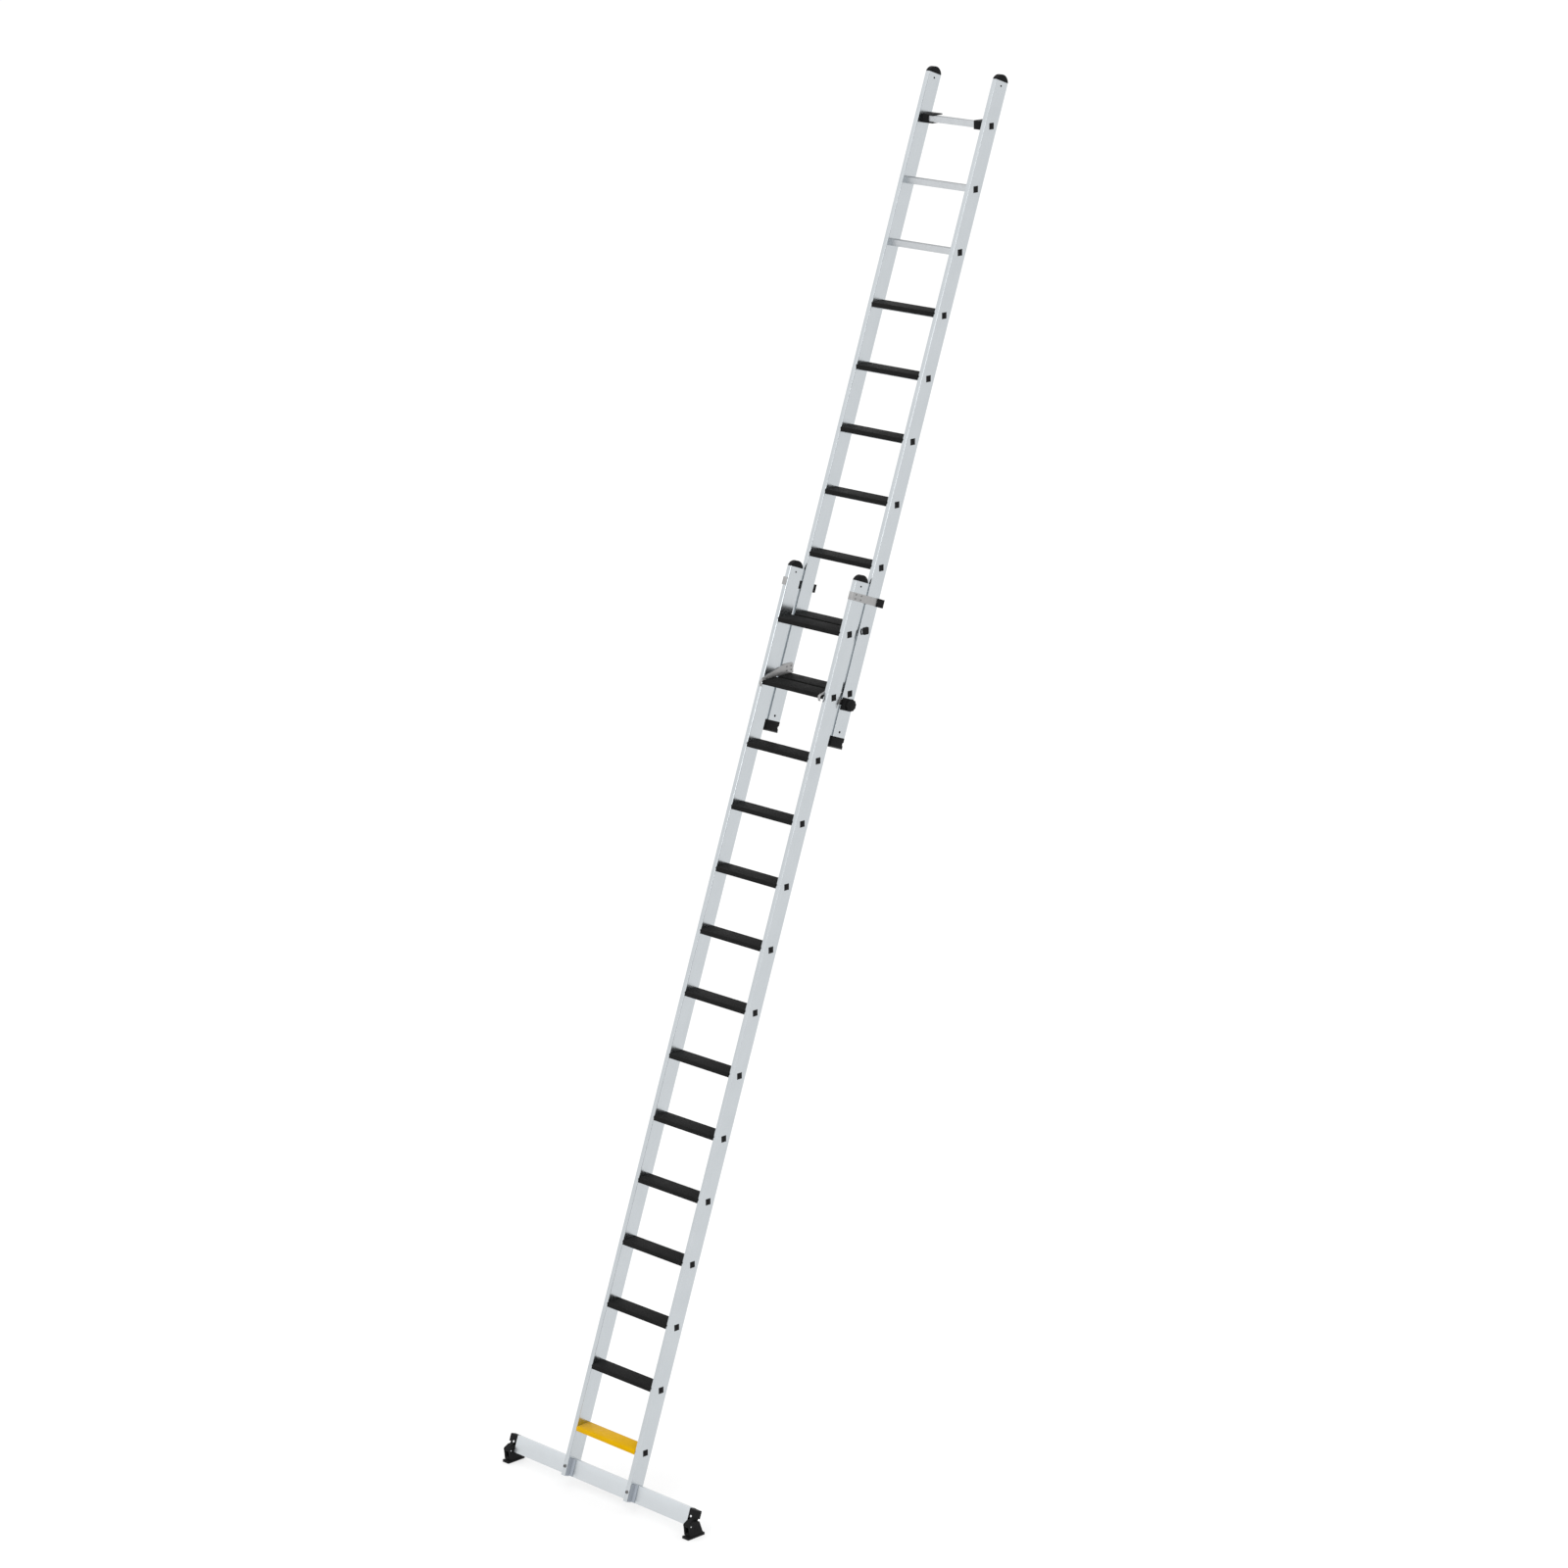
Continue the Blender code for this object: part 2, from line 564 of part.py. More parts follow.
def shoe_knuckle(name, side, pitch):
    """Two cheeks around the barrel, joined by a bridge that carries the roll pin."""
    low = 0.0135
    barrel = arc((PIVOT_BACK, PIVOT_HEIGHT), BARREL, 215, 110, 7)
    foot = [(-0.029, low), (-0.101, low), (-0.1005, 0.018)]
    cheek = from_pivot(foot + barrel + [(-0.078, 0.0775), (-0.0474, 0.0690), (-0.029, 0.018)])
    across = SHOE_X - SHOE_INNER - CHEEK / 2
    knuckle = part(name, outline_mesh(name, [cheek], CHEEK, ALONG_X), "black_plastic", pitch,
                   (side * across, 0, 0))
    second = outline_mesh(name + "_inner_cheek", [cheek], CHEEK, ALONG_X)
    join(knuckle, guide(name + "_inner_cheek", second, pitch, (-side * across, 0, 0)))
    block = from_pivot(rectangle(-0.094, -0.036, low + 0.0004, 0.0255))
    bridge = outline_mesh(name + "_bridge", [block], SHOE_OUTER - SHOE_INNER - 2 * CHEEK + 0.002, ALONG_X)
    join(knuckle, guide(name + "_bridge", bridge, pitch, (0, 0, 0)))
    bore = round_mesh(name + "_pin_bore", 0.0033, 0.060, ALONG_X, 16)
    cut(knuckle, guide(name + "_pin_bore", bore, pitch, (0, 0, 0)))
    bore = round_mesh(name + "_roll_bore", 0.0028, 0.090, ALONG_D, 16)
    return cut(knuckle, guide(name + "_roll_bore", bore, pitch,
                              (0, -0.065 - PIVOT_BACK, ROLL_HEIGHT - PIVOT_HEIGHT)))


def shoe_pin(name, pitch):
    return part(name, round_mesh(name, 0.003, SHOE_OUTER - SHOE_INNER, ALONG_X, 16), "steel", pitch, (0, 0, 0))


def shoe_sole(name, roll):
    """Flat sole with two lugs and the pin that it rocks on."""
    half = (SHOE_OUTER - SHOE_INNER) / 2
    middle = (SOLE_FRONT + SOLE_BACK) / 2 + 0.068
    plate = rectangle(-half, half, SOLE_FRONT + 0.068, SOLE_BACK + 0.068, 0.004, 3)
    sole = part(name, outline_mesh(name, [plate], SOLE_THICK, ALONG_L), "black_plastic", roll,
                (0, 0, SOLE_THICK / 2 - ROLL_HEIGHT))
    for end in (-1, 1):
        lug = rectangle(-0.0085, 0.0085, -0.010, 0.0055, 0.004, 3)
        mesh = outline_mesh(f"{name}_lug_{end}", [lug], 0.0055, ALONG_D)
        join(sole, guide(f"{name}_lug_{end}", mesh, roll, (0, middle + end * 0.0325, 0)))
    pin = round_mesh(name + "_pin", 0.0025, 0.066, ALONG_D, 16)
    return join(sole, guide(name + "_pin", pin, roll, (0, middle, 0)))


# ---- the ladder ----
SIDES = (("left", -1), ("right", 1))

for number in range(1, BASE_RUNGS + 1):
    lowest_step = number == 1
    step(f"base_step_{number:02d}", base_frame, number, "yellow_plastic" if lowest_step else "black_tread",
         0.008 if lowest_step else 0.004)
for number in range(1, UPPER_TREADS + 1):
    step(f"upper_step_{number:02d}", upper_frame, number, "black_tread", 0.004)
for number in range(UPPER_TREADS + 1, UPPER_RUNGS + 1):
    rung(f"upper_rung_{number:02d}", upper_frame, number)

bores = [bolt_bore(f"bolt_bore_{word}", side) for word, side in SIDES]
stabiliser_bar(bores)
section_lock()
extension_stop()

for (word, side), bore in zip(SIDES, bores):
    fork(stile(f"base_stile_{word}", side, base_frame, BASE_RUNGS, BASE_TAIL, BASE_HEAD), side, bore)
    stile(f"upper_stile_{word}", side, upper_frame, UPPER_RUNGS, UPPER_TAIL, UPPER_HEAD)
    top_cap(f"base_top_cap_{word}", side, base_frame, (BASE_RUNGS - 1) * PITCH + BASE_HEAD)
    top_cap(f"upper_top_cap_{word}", side, upper_frame, (UPPER_RUNGS - 1) * PITCH + UPPER_HEAD)
    end_foot(f"upper_end_foot_{word}", side)
    guide_strap(f"guide_strap_{word}", side)
    guide_pad(f"guide_pad_{word}", side)
    hook(f"hook_{word}", side)
    wall_clip(f"wall_clip_{word}", side)
    bar_saddle(f"bar_saddle_{word}", side, bore)
    bar_bolt(f"bar_bolt_{word}", side)
    shoe_housing(f"shoe_housing_{word}", side)
    pitch_axis, roll_axis = shoe_frames(f"shoe_{word}", side)
    shoe_knuckle(f"shoe_knuckle_{word}", side, pitch_axis)
    shoe_pin(f"shoe_pin_{word}", pitch_axis)
    shoe_sole(f"shoe_sole_{word}", roll_axis)
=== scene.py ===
# %% [markdown]
# # A two-section extension ladder
#
# The real ladder is made of bright extruded aluminium: two sections of hollow stiles and square rungs.
# Moulded treads are clipped over the rungs, and a wide stabiliser bar stands on two tilting shoes.
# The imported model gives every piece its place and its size. This lesson dresses it: it rounds the edges,
# adds the screws, rivets, plugs and grit that are too fine for the solids, and gives each surface its finish.

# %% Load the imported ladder
import json
import math

import bmesh
import bpy
from mathutils import Matrix, Vector

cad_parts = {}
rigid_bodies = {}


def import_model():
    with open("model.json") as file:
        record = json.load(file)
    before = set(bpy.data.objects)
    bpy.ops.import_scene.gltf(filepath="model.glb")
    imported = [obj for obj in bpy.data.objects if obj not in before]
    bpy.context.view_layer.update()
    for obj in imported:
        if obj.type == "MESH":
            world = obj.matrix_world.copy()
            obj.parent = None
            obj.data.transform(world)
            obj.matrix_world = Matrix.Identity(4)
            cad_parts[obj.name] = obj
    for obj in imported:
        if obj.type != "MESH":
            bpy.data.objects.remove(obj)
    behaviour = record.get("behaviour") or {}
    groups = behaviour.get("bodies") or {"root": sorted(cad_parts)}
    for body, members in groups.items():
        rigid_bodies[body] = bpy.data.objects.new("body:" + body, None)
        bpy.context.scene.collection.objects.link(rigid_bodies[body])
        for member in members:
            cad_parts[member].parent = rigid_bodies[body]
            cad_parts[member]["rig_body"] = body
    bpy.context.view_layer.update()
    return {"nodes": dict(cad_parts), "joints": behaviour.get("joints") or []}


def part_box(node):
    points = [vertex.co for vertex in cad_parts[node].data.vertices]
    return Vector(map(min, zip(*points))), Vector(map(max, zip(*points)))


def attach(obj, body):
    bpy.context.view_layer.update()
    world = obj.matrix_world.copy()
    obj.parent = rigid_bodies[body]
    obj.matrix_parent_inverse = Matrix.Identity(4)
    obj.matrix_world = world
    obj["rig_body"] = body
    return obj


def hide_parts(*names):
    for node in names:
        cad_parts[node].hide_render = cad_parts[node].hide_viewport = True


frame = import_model()
print("packed nodes:", len(frame["nodes"]))

# %% [markdown]
# ## The two leaning sections
#
# Each section is a plane of its own that leans back, so a screw or a rivet is easiest to place with
# three numbers: across, how deep behind the front face, and how far up the stile. The direction up the
# stile is the direction in which the upper section slides, so it is read from that joint.
# The rungs are turned level, and the first rung of each section is where its levels start.

# %% Directions and the place of each section
PITCH = 0.280                  # rung to rung, up the stile
RUNG_DEPTH = 0.0405            # rung centre behind the stiles' front face
TREAD_FRONT = -0.042           # tread edges, measured from the rung centre
TREAD_TOP = 0.0165
STILE_WIDE = 0.024
STILE_DEEP = 0.077

slide = next(joint for joint in frame["joints"] if joint["name"] == "section_slide")
ACROSS = Vector((1.0, 0.0, 0.0))
UP = Vector(slide["axis"]).normalized()
BACK = ACROSS.cross(UP) * -1.0
LEAN = math.atan2(UP.y, UP.z)
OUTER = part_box("base_stile_right")[1].x
INNER = OUTER - STILE_WIDE


def step_centre(node):
    """The rung's centre under a tread, from the tread's front edge and its top."""
    low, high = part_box(node)
    return Vector((0.0, low.y - TREAD_FRONT, high.z - TREAD_TOP))


FIRST_RUNG = {"base": step_centre("base_step_02") - UP * PITCH, "upper": step_centre("upper_step_01")}
ORIGIN = {section: centre - BACK * RUNG_DEPTH for section, centre in FIRST_RUNG.items()}


def at(section, across, depth, level):
    """A point of a section: across it, behind its front face, and up the stile from its first rung."""
    return ORIGIN[section] + ACROSS * across + BACK * depth + UP * level


print("lean in degrees:", round(math.degrees(LEAN), 2))
print("upper section's first rung:", [round(v, 4) for v in FIRST_RUNG["upper"]])

# %% [markdown]
# ## The view
#
# A ladder six metres tall is seen best through a long lens from well back, so that the stiles stay nearly
# parallel. The camera stands to the right of the front and looks a little down. Its direction is given by
# an azimuth and an elevation, and it has a very slight roll.

# %% Camera
CAMERA_PLACE = (14.8955, -14.5097, 8.7185)
CAMERA_AZIMUTH = math.radians(45.7389)
CAMERA_ELEVATION = math.radians(15.3688)
CAMERA_ROLL = math.radians(-0.1819)

lens = bpy.data.cameras.new("camera")
lens.sensor_width = 36.0
lens.lens = 114.031
lens.clip_end = 500.0
camera = bpy.data.objects.new("camera", lens)
bpy.context.scene.collection.objects.link(camera)
level_part = math.cos(CAMERA_ELEVATION)
towards = Vector((-math.sin(CAMERA_AZIMUTH) * level_part, math.cos(CAMERA_AZIMUTH) * level_part,
                  -math.sin(CAMERA_ELEVATION)))
turn = towards.to_track_quat("-Z", "Y").to_matrix().to_4x4() @ Matrix.Rotation(CAMERA_ROLL, 4, "Z")
camera.matrix_world = Matrix.Translation(CAMERA_PLACE) @ turn
bpy.context.scene.camera = camera
print("camera looks along:", [round(v, 4) for v in towards])

# %% [markdown]
# ## Studio
#
# The ladder stands in a white studio. The light comes from everywhere, and a little more from overhead,
# so that level faces are the brightest and the stiles' sides are an even light grey. The floor is pale
# and glows slightly, which keeps the shadows under the shoes soft and small.

# %% Floor, sky and softbox
FLOOR_HALF = 160.0
FLOOR_GREY = 0.40
FLOOR_GLOW = 0.54
SKY_LEVEL = 1.03               # brightness at the horizon
SKY_TOP = 1.40                 # brightness overhead
SOFTBOX_PLACE = Vector((2.0, -11.0, 9.0))
SOFTBOX_AIM = Vector((0.0, 0.0, 3.0))


def quad(name, half):
    mesh = bpy.data.meshes.new(name)
    sheet = bmesh.new()
    bmesh.ops.create_grid(sheet, x_segments=1, y_segments=1, size=half)
    sheet.to_mesh(mesh)
    sheet.free()
    thing = bpy.data.objects.new(name, mesh)
    bpy.context.scene.collection.objects.link(thing)
    return thing


floor = quad("studio_floor", FLOOR_HALF)
floor_paint = bpy.data.materials.new("pale_floor")
floor_paint.use_nodes = True
paint = floor_paint.node_tree.nodes["Principled BSDF"]
paint.inputs["Base Color"].default_value = (FLOOR_GREY, FLOOR_GREY, FLOOR_GREY, 1.0)
paint.inputs["Roughness"].default_value = 1.0
paint.inputs["Specular IOR Level"].default_value = 0.0
paint.inputs["Emission Color"].default_value = (1.0, 1.0, 1.0, 1.0)
paint.inputs["Emission Strength"].default_value = FLOOR_GLOW
floor.data.materials.append(floor_paint)

world = bpy.data.worlds.new("studio")
bpy.context.scene.world = world
world.use_nodes = True
sky = world.node_tree
direction = sky.nodes.new("ShaderNodeTexCoord")
height = sky.nodes.new("ShaderNodeSeparateXYZ")
rise = sky.nodes.new("ShaderNodeMapRange")
rise.inputs["From Min"].default_value = 0.10
rise.inputs["From Max"].default_value = 0.95
rise.inputs["To Min"].default_value = SKY_LEVEL
rise.inputs["To Max"].default_value = SKY_TOP
sky.links.new(direction.outputs["Generated"], height.inputs[0])
sky.links.new(height.outputs["Z"], rise.inputs["Value"])
sky.links.new(rise.outputs["Result"], sky.nodes["Background"].inputs["Strength"])
sky.nodes["Background"].inputs["Color"].default_value = (1.0, 1.0, 1.0, 1.0)

softbox = bpy.data.lights.new("softbox", "AREA")
softbox.shape = "DISK"
softbox.size = 6.0
softbox.energy = 220.0
lamp = bpy.data.objects.new("softbox", softbox)
bpy.context.scene.collection.objects.link(lamp)
aim = (SOFTBOX_AIM - SOFTBOX_PLACE).to_track_quat("-Z", "Y").to_matrix().to_4x4()
lamp.matrix_world = Matrix.Translation(SOFTBOX_PLACE) @ aim
bpy.context.scene.view_settings.view_transform = "Standard"
print("stage:", floor.name, world.name, lamp.name)

# %% [markdown]
# ## Patterns that the finishes share
#
# Two effects turn up on nearly every piece, and a third on the rungs, so each is a node group, built once.
# *Drawn lines* are the fine streaks that the die leaves along an extruded profile. *Grain* is the fine
# mottle of a moulded or rolled surface, with a second, wider cloudiness for handling marks. Both read
# Object coordinates, and the streaks on a stile are first turned back by the lean, so that they run along
# it. *Upward* finds the faces that look up, so that the rungs' finish can darken their tops as painted shade.

# %% Helpers for node groups


def new_group(name, inputs, outputs):
    """A shader node group with its sockets. Each input is a name, a socket type and a value."""
    tree = bpy.data.node_groups.new(name, "ShaderNodeTree")
    for label, kind, value in inputs:
        socket = tree.interface.new_socket(label, in_out="INPUT", socket_type=kind)
        socket.default_value = value
    for label, kind in outputs:
        tree.interface.new_socket(label, in_out="OUTPUT", socket_type=kind)
    return tree, tree.nodes.new("NodeGroupInput"), tree.nodes.new("NodeGroupOutput")


def node(tree, kind, **settings):
    made = tree.nodes.new(kind)
    for label, value in settings.items():
        setattr(made, label, value)
    return made


FLOAT, VECTOR = "NodeSocketFloat", "NodeSocketVector"

# %% Drawn lines


def drawn_lines():
    inputs = [("Turn", VECTOR, (0.0, 0.0, 0.0)), ("Stretch", VECTOR, (700.0, 700.0, 2.0))]
    tree, given, result = new_group("drawn_lines", inputs, [("Streak", FLOAT), ("Cloud", FLOAT)])
    place = node(tree, "ShaderNodeTexCoord")
    straight = node(tree, "ShaderNodeMapping")
    stretch = node(tree, "ShaderNodeVectorMath", operation="MULTIPLY")
    streak = node(tree, "ShaderNodeTexNoise")
    streak.inputs["Scale"].default_value = 1.0
    streak.inputs["Detail"].default_value = 3.0
    cloud = node(tree, "ShaderNodeTexNoise")
    cloud.inputs["Scale"].default_value = 9.0
    cloud.inputs["Detail"].default_value = 4.0
    tree.links.new(place.outputs["Object"], straight.inputs["Vector"])
    tree.links.new(given.outputs["Turn"], straight.inputs["Rotation"])
    tree.links.new(straight.outputs["Vector"], stretch.inputs[0])
    tree.links.new(given.outputs["Stretch"], stretch.inputs[1])
    tree.links.new(stretch.outputs["Vector"], streak.inputs["Vector"])
    tree.links.new(straight.outputs["Vector"], cloud.inputs["Vector"])
    tree.links.new(streak.outputs["Fac"], result.inputs["Streak"])
    tree.links.new(cloud.outputs["Fac"], result.inputs["Cloud"])
    return tree


DRAWN_LINES = drawn_lines()
print("shader group:", DRAWN_LINES.name)

# %% Grain


def grain():
    inputs = [("Fine", FLOAT, 1800.0), ("Wide", FLOAT, 14.0)]
    tree, given, result = new_group("grain", inputs, [("Pebble", FLOAT), ("Cloud", FLOAT)])
    place = node(tree, "ShaderNodeTexCoord")
    pebble = node(tree, "ShaderNodeTexNoise")
    pebble.inputs["Detail"].default_value = 2.0
    cloud = node(tree, "ShaderNodeTexNoise")
    cloud.inputs["Detail"].default_value = 5.0
    cloud.inputs["Roughness"].default_value = 0.6
    for texture, size in ((pebble, "Fine"), (cloud, "Wide")):
        tree.links.new(place.outputs["Object"], texture.inputs["Vector"])
        tree.links.new(given.outputs[size], texture.inputs["Scale"])
    tree.links.new(pebble.outputs["Fac"], result.inputs["Pebble"])
    tree.links.new(cloud.outputs["Fac"], result.inputs["Cloud"])
    return tree


GRAIN = grain()
print("shader group:", GRAIN.name)

# %% Upward: a mask of the faces that look up, for the painted shade on the rung tops


def upward_painted_shade():
    tree, _, result = new_group("upward_painted_shade", [], [("Mask", FLOAT)])
    surface = node(tree, "ShaderNodeTexCoord")
    parts = node(tree, "ShaderNodeSeparateXYZ")
    mask = node(tree, "ShaderNodeMapRange")
    mask.inputs["From Min"].default_value = 0.55
    mask.inputs["From Max"].default_value = 0.90
    tree.links.new(surface.outputs["Normal"], parts.inputs[0])
    tree.links.new(parts.outputs["Z"], mask.inputs["Value"])
    tree.links.new(mask.outputs["Result"], result.inputs["Mask"])
    return tree


TOP_SHADE_GROUP = upward_painted_shade()
print("shader group:", TOP_SHADE_GROUP.name)

# %% [markdown]
# ## Finishes
#
# A finish is a pattern that pushes three things a little: the colour, the roughness and the height. One
# helper wires them up, and each finish is then a short list of its own numbers. A value that is the same
# all over a surface, such as how metallic it is, is set directly on the shader.

# %% One helper for every finish


def finish(name, group, dark, light, rough, bump, metallic=0.0, specular=0.5, values=None, painted_top_shade=0.0):
    """A Principled finish. dark and light are the two ends of its colour, and rough those of its roughness.
    bump is the depth of its fine texture in metres. The last argument is the fraction by which the faces that
    look up are darkened, as painted shade."""
    material = bpy.data.materials.new(name)
    material.use_nodes = True
    tree = material.node_tree
    shader = tree.nodes["Principled BSDF"]
    shader.inputs["Metallic"].default_value = metallic
    shader.inputs["Specular IOR Level"].default_value = specular
    pattern = node(tree, "ShaderNodeGroup", node_tree=group)
    for label, value in (values or {}).items():
        pattern.inputs[label].default_value = value
    fine, cloud = pattern.outputs[0], pattern.outputs[1]
    blend = node(tree, "ShaderNodeMix", data_type="FLOAT")
    blend.inputs["Factor"].default_value = 0.5
    tree.links.new(fine, blend.inputs[2])
    tree.links.new(cloud, blend.inputs[3])
    spread = node(tree, "ShaderNodeMapRange")
    spread.inputs["From Min"].default_value = 0.30
    spread.inputs["From Max"].default_value = 0.70
    tree.links.new(blend.outputs[0], spread.inputs["Value"])
    colour = node(tree, "ShaderNodeMix", data_type="RGBA")
    colour.inputs[6].default_value = (*dark, 1.0)
    colour.inputs[7].default_value = (*light, 1.0)
    tree.links.new(spread.outputs["Result"], colour.inputs["Factor"])
    tree.links.new(colour.outputs[2], shader.inputs["Base Color"])
    # Painted shade: the faces that look up are darkened by the given fraction.
    if painted_top_shade:
        mask = node(tree, "ShaderNodeGroup", node_tree=TOP_SHADE_GROUP)
        top_shade_amount = node(tree, "ShaderNodeMapRange")
        top_shade_amount.inputs["To Min"].default_value = 1.0
        top_shade_amount.inputs["To Max"].default_value = 1.0 - painted_top_shade
        top_shaded_colour = node(tree, "ShaderNodeVectorMath", operation="SCALE")
        tree.links.new(mask.outputs["Mask"], top_shade_amount.inputs["Value"])
        tree.links.new(colour.outputs[2], top_shaded_colour.inputs[0])
        tree.links.new(top_shade_amount.outputs["Result"], top_shaded_colour.inputs["Scale"])
        tree.links.new(top_shaded_colour.outputs["Vector"], shader.inputs["Base Color"])
    roughness = node(tree, "ShaderNodeMapRange")
    roughness.inputs["From Min"].default_value = 0.30
    roughness.inputs["From Max"].default_value = 0.70
    roughness.inputs["To Min"].default_value = rough[0]
    roughness.inputs["To Max"].default_value = rough[1]
    tree.links.new(cloud, roughness.inputs["Value"])
    tree.links.new(roughness.outputs["Result"], shader.inputs["Roughness"])
    relief = node(tree, "ShaderNodeBump")
    relief.inputs["Distance"].default_value = bump
    relief.inputs["Strength"].default_value = 0.6
    tree.links.new(fine, relief.inputs["Height"])
    tree.links.new(relief.outputs["Normal"], shader.inputs["Normal"])
    return material


# %% [markdown]
# ## Metals
#
# The stiles, rungs and stabiliser bar are the same mill-finish aluminium, but the streaks follow each
# profile: up the stiles, and across on the rungs and the bar. The saddles at the foot are a darker grey and a
# little rougher. The straps and hooks are steel with a thin zinc coat, which is a flatter, slightly cloudy
# grey.

# %% Aluminium and steel
ALONG_STILE = {"Turn": (LEAN, 0.0, 0.0), "Stretch": (700.0, 700.0, 2.0)}
ALONG_RUNG = {"Turn": (0.0, 0.0, 0.0), "Stretch": (2.0, 700.0, 700.0)}
stile_metal = finish("stile_aluminium", DRAWN_LINES, (0.530, 0.562, 0.585), (0.572, 0.604, 0.627),
                     (0.16, 0.24), 0.00001, metallic=1.0, values=ALONG_STILE)
# The rung tops are made 40 % darker as painted shade.
rung_metal = finish("rung_aluminium", DRAWN_LINES, (0.530, 0.550, 0.568), (0.610, 0.630, 0.648),
                    (0.36, 0.48), 0.00001, metallic=1.0, values=ALONG_RUNG, painted_top_shade=0.40)
bar_metal = finish("bar_aluminium", DRAWN_LINES, (0.580, 0.610, 0.632), (0.622, 0.653, 0.675),
                   (0.32, 0.42), 0.00001, metallic=1.0, values=ALONG_RUNG)
saddle_metal = finish("saddle_aluminium", DRAWN_LINES, (0.300, 0.330, 0.370), (0.350, 0.380, 0.420),
                      (0.34, 0.46), 0.00001, metallic=1.0, values=ALONG_STILE)
zinc = finish("zinc_plated_steel", GRAIN, (0.320, 0.320, 0.320), (0.430, 0.430, 0.430),
              (0.34, 0.52), 0.00002, metallic=1.0, values={"Fine": 900.0, "Wide": 60.0})
rivet_metal = finish("rivet_steel", GRAIN, (0.130, 0.130, 0.130), (0.210, 0.210, 0.210),
                     (0.25, 0.40), 0.00001, metallic=1.0, values={"Fine": 2500.0, "Wide": 300.0})
bright_metal = finish("bright_rivet", GRAIN, (0.70, 0.71, 0.72), (0.85, 0.86, 0.87),
                      (0.20, 0.32), 0.00001, metallic=1.0, values={"Fine": 2500.0, "Wide": 300.0})
dark_screw = finish("blackened_screw", GRAIN, (0.006, 0.006, 0.006), (0.014, 0.014, 0.015),
                    (0.35, 0.50), 0.00001, specular=0.1, values={"Fine": 2500.0, "Wide": 300.0})
print("metals made")

# %% [markdown]
# ## Plastics and rubber
#
# The black mouldings have the fine spark-eroded grain that such parts get from their mould, and reflect
# very little. The treads are rougher still. The lowest tread is bright yellow and smooth, because it warns
# that the ground is near.

# %% Plastics
moulded = finish("moulded_black", GRAIN, (0.006, 0.006, 0.006), (0.012, 0.012, 0.013),
                 (0.48, 0.64), 0.00003, specular=0.07, values={"Fine": 1600.0, "Wide": 30.0})
tread_black = finish("tread_black", GRAIN, (0.008, 0.008, 0.008), (0.017, 0.017, 0.017),
                     (0.50, 0.66), 0.00012, specular=0.020, values={"Fine": 700.0, "Wide": 22.0})
grit = finish("grit_grains", GRAIN, (0.010, 0.010, 0.010), (0.060, 0.061, 0.062),
              (0.45, 0.65), 0.00004, specular=0.06, values={"Fine": 420.0, "Wide": 900.0})
yellow = finish("yellow_gloss", GRAIN, (0.575, 0.320, 0.001), (0.650, 0.368, 0.002),
                (0.20, 0.30), 0.000006, specular=0.02, values={"Fine": 900.0, "Wide": 18.0})
rubber = finish("sole_rubber", GRAIN, (0.012, 0.012, 0.013), (0.030, 0.030, 0.031),
                (0.70, 0.90), 0.00006, specular=0.12, values={"Fine": 1100.0, "Wide": 40.0})
grey_sole = finish("grey_foot_sole", GRAIN, (0.075, 0.075, 0.076), (0.130, 0.130, 0.131),
                   (0.60, 0.80), 0.00004, specular=0.15, values={"Fine": 1100.0, "Wide": 40.0})
print("plastics made")

# %% [markdown]
# ## Flat outlines
#
# Most of these pieces are one outline with a thickness: a tread, a rung, a dark disc of painted shade, a rib.
# A filled 2D curve does this, and its bevel also rounds both ends. The curve is drawn in millimetres, where
# its fill is most exact, turned into a mesh, and only then put in its place.

# %% Outlines with a thickness
ALONG_X = Matrix(((0, 0, 1), (1, 0, 0), (0, 1, 0))).to_4x4()    # outline in y, z; thickness in x
TILT = Matrix((ACROSS, BACK, UP)).transposed().to_4x4()         # from upright to leaning with the stiles
MILLI = 1000.0


def arc(centre, radius, start, end, steps=6):
    """Points on an arc, in degrees, both ends included."""
    angles = [math.radians(start + (end - start) * i / steps) for i in range(steps + 1)]
    return [(centre[0] + radius * math.cos(a), centre[1] + radius * math.sin(a)) for a in angles]


def rounded_square(half, radius, steps=4):
    points = []
    for x, y, start in ((1, 1, 0), (-1, 1, 90), (-1, -1, 180), (1, -1, 270)):
        points += arc((x * (half - radius), y * (half - radius)), radius, start, start + 90, steps)
    return points


def smooth(mesh, angle=32.0):
    mesh.shade_smooth()
    mesh.set_sharp_from_angle(angle=math.radians(angle))
    return mesh


def outline_mesh(name, outlines, thickness, rounding=0.0):
    curve = bpy.data.curves.new(name, "CURVE")
    curve.dimensions = "2D"
    curve.fill_mode = "BOTH"
    curve.extrude = (thickness / 2 - rounding) * MILLI
    curve.bevel_depth = rounding * MILLI
    curve.bevel_resolution = 1
    curve.offset = -rounding * MILLI
    for points in outlines:
        spline = curve.splines.new("POLY")
        spline.points.add(len(points) - 1)
        for knot, (x, y) in zip(spline.points, points):
            knot.co = (x * MILLI, y * MILLI, 0.0, 1.0)
        spline.use_cyclic_u = True
    holder = bpy.data.objects.new(name, curve)
    bpy.context.scene.collection.objects.link(holder)
    mesh = bpy.data.meshes.new_from_object(holder.evaluated_get(bpy.context.evaluated_depsgraph_get()))
    bpy.data.objects.remove(holder, do_unlink=True)
    weld = bmesh.new()
    weld.from_mesh(mesh)
    bmesh.ops.remove_doubles(weld, verts=weld.verts, dist=0.001)
    bmesh.ops.recalc_face_normals(weld, faces=weld.faces)
    weld.to_mesh(mesh)
    weld.free()
    mesh.transform(Matrix.Scale(1 / MILLI, 4))
    return smooth(mesh)


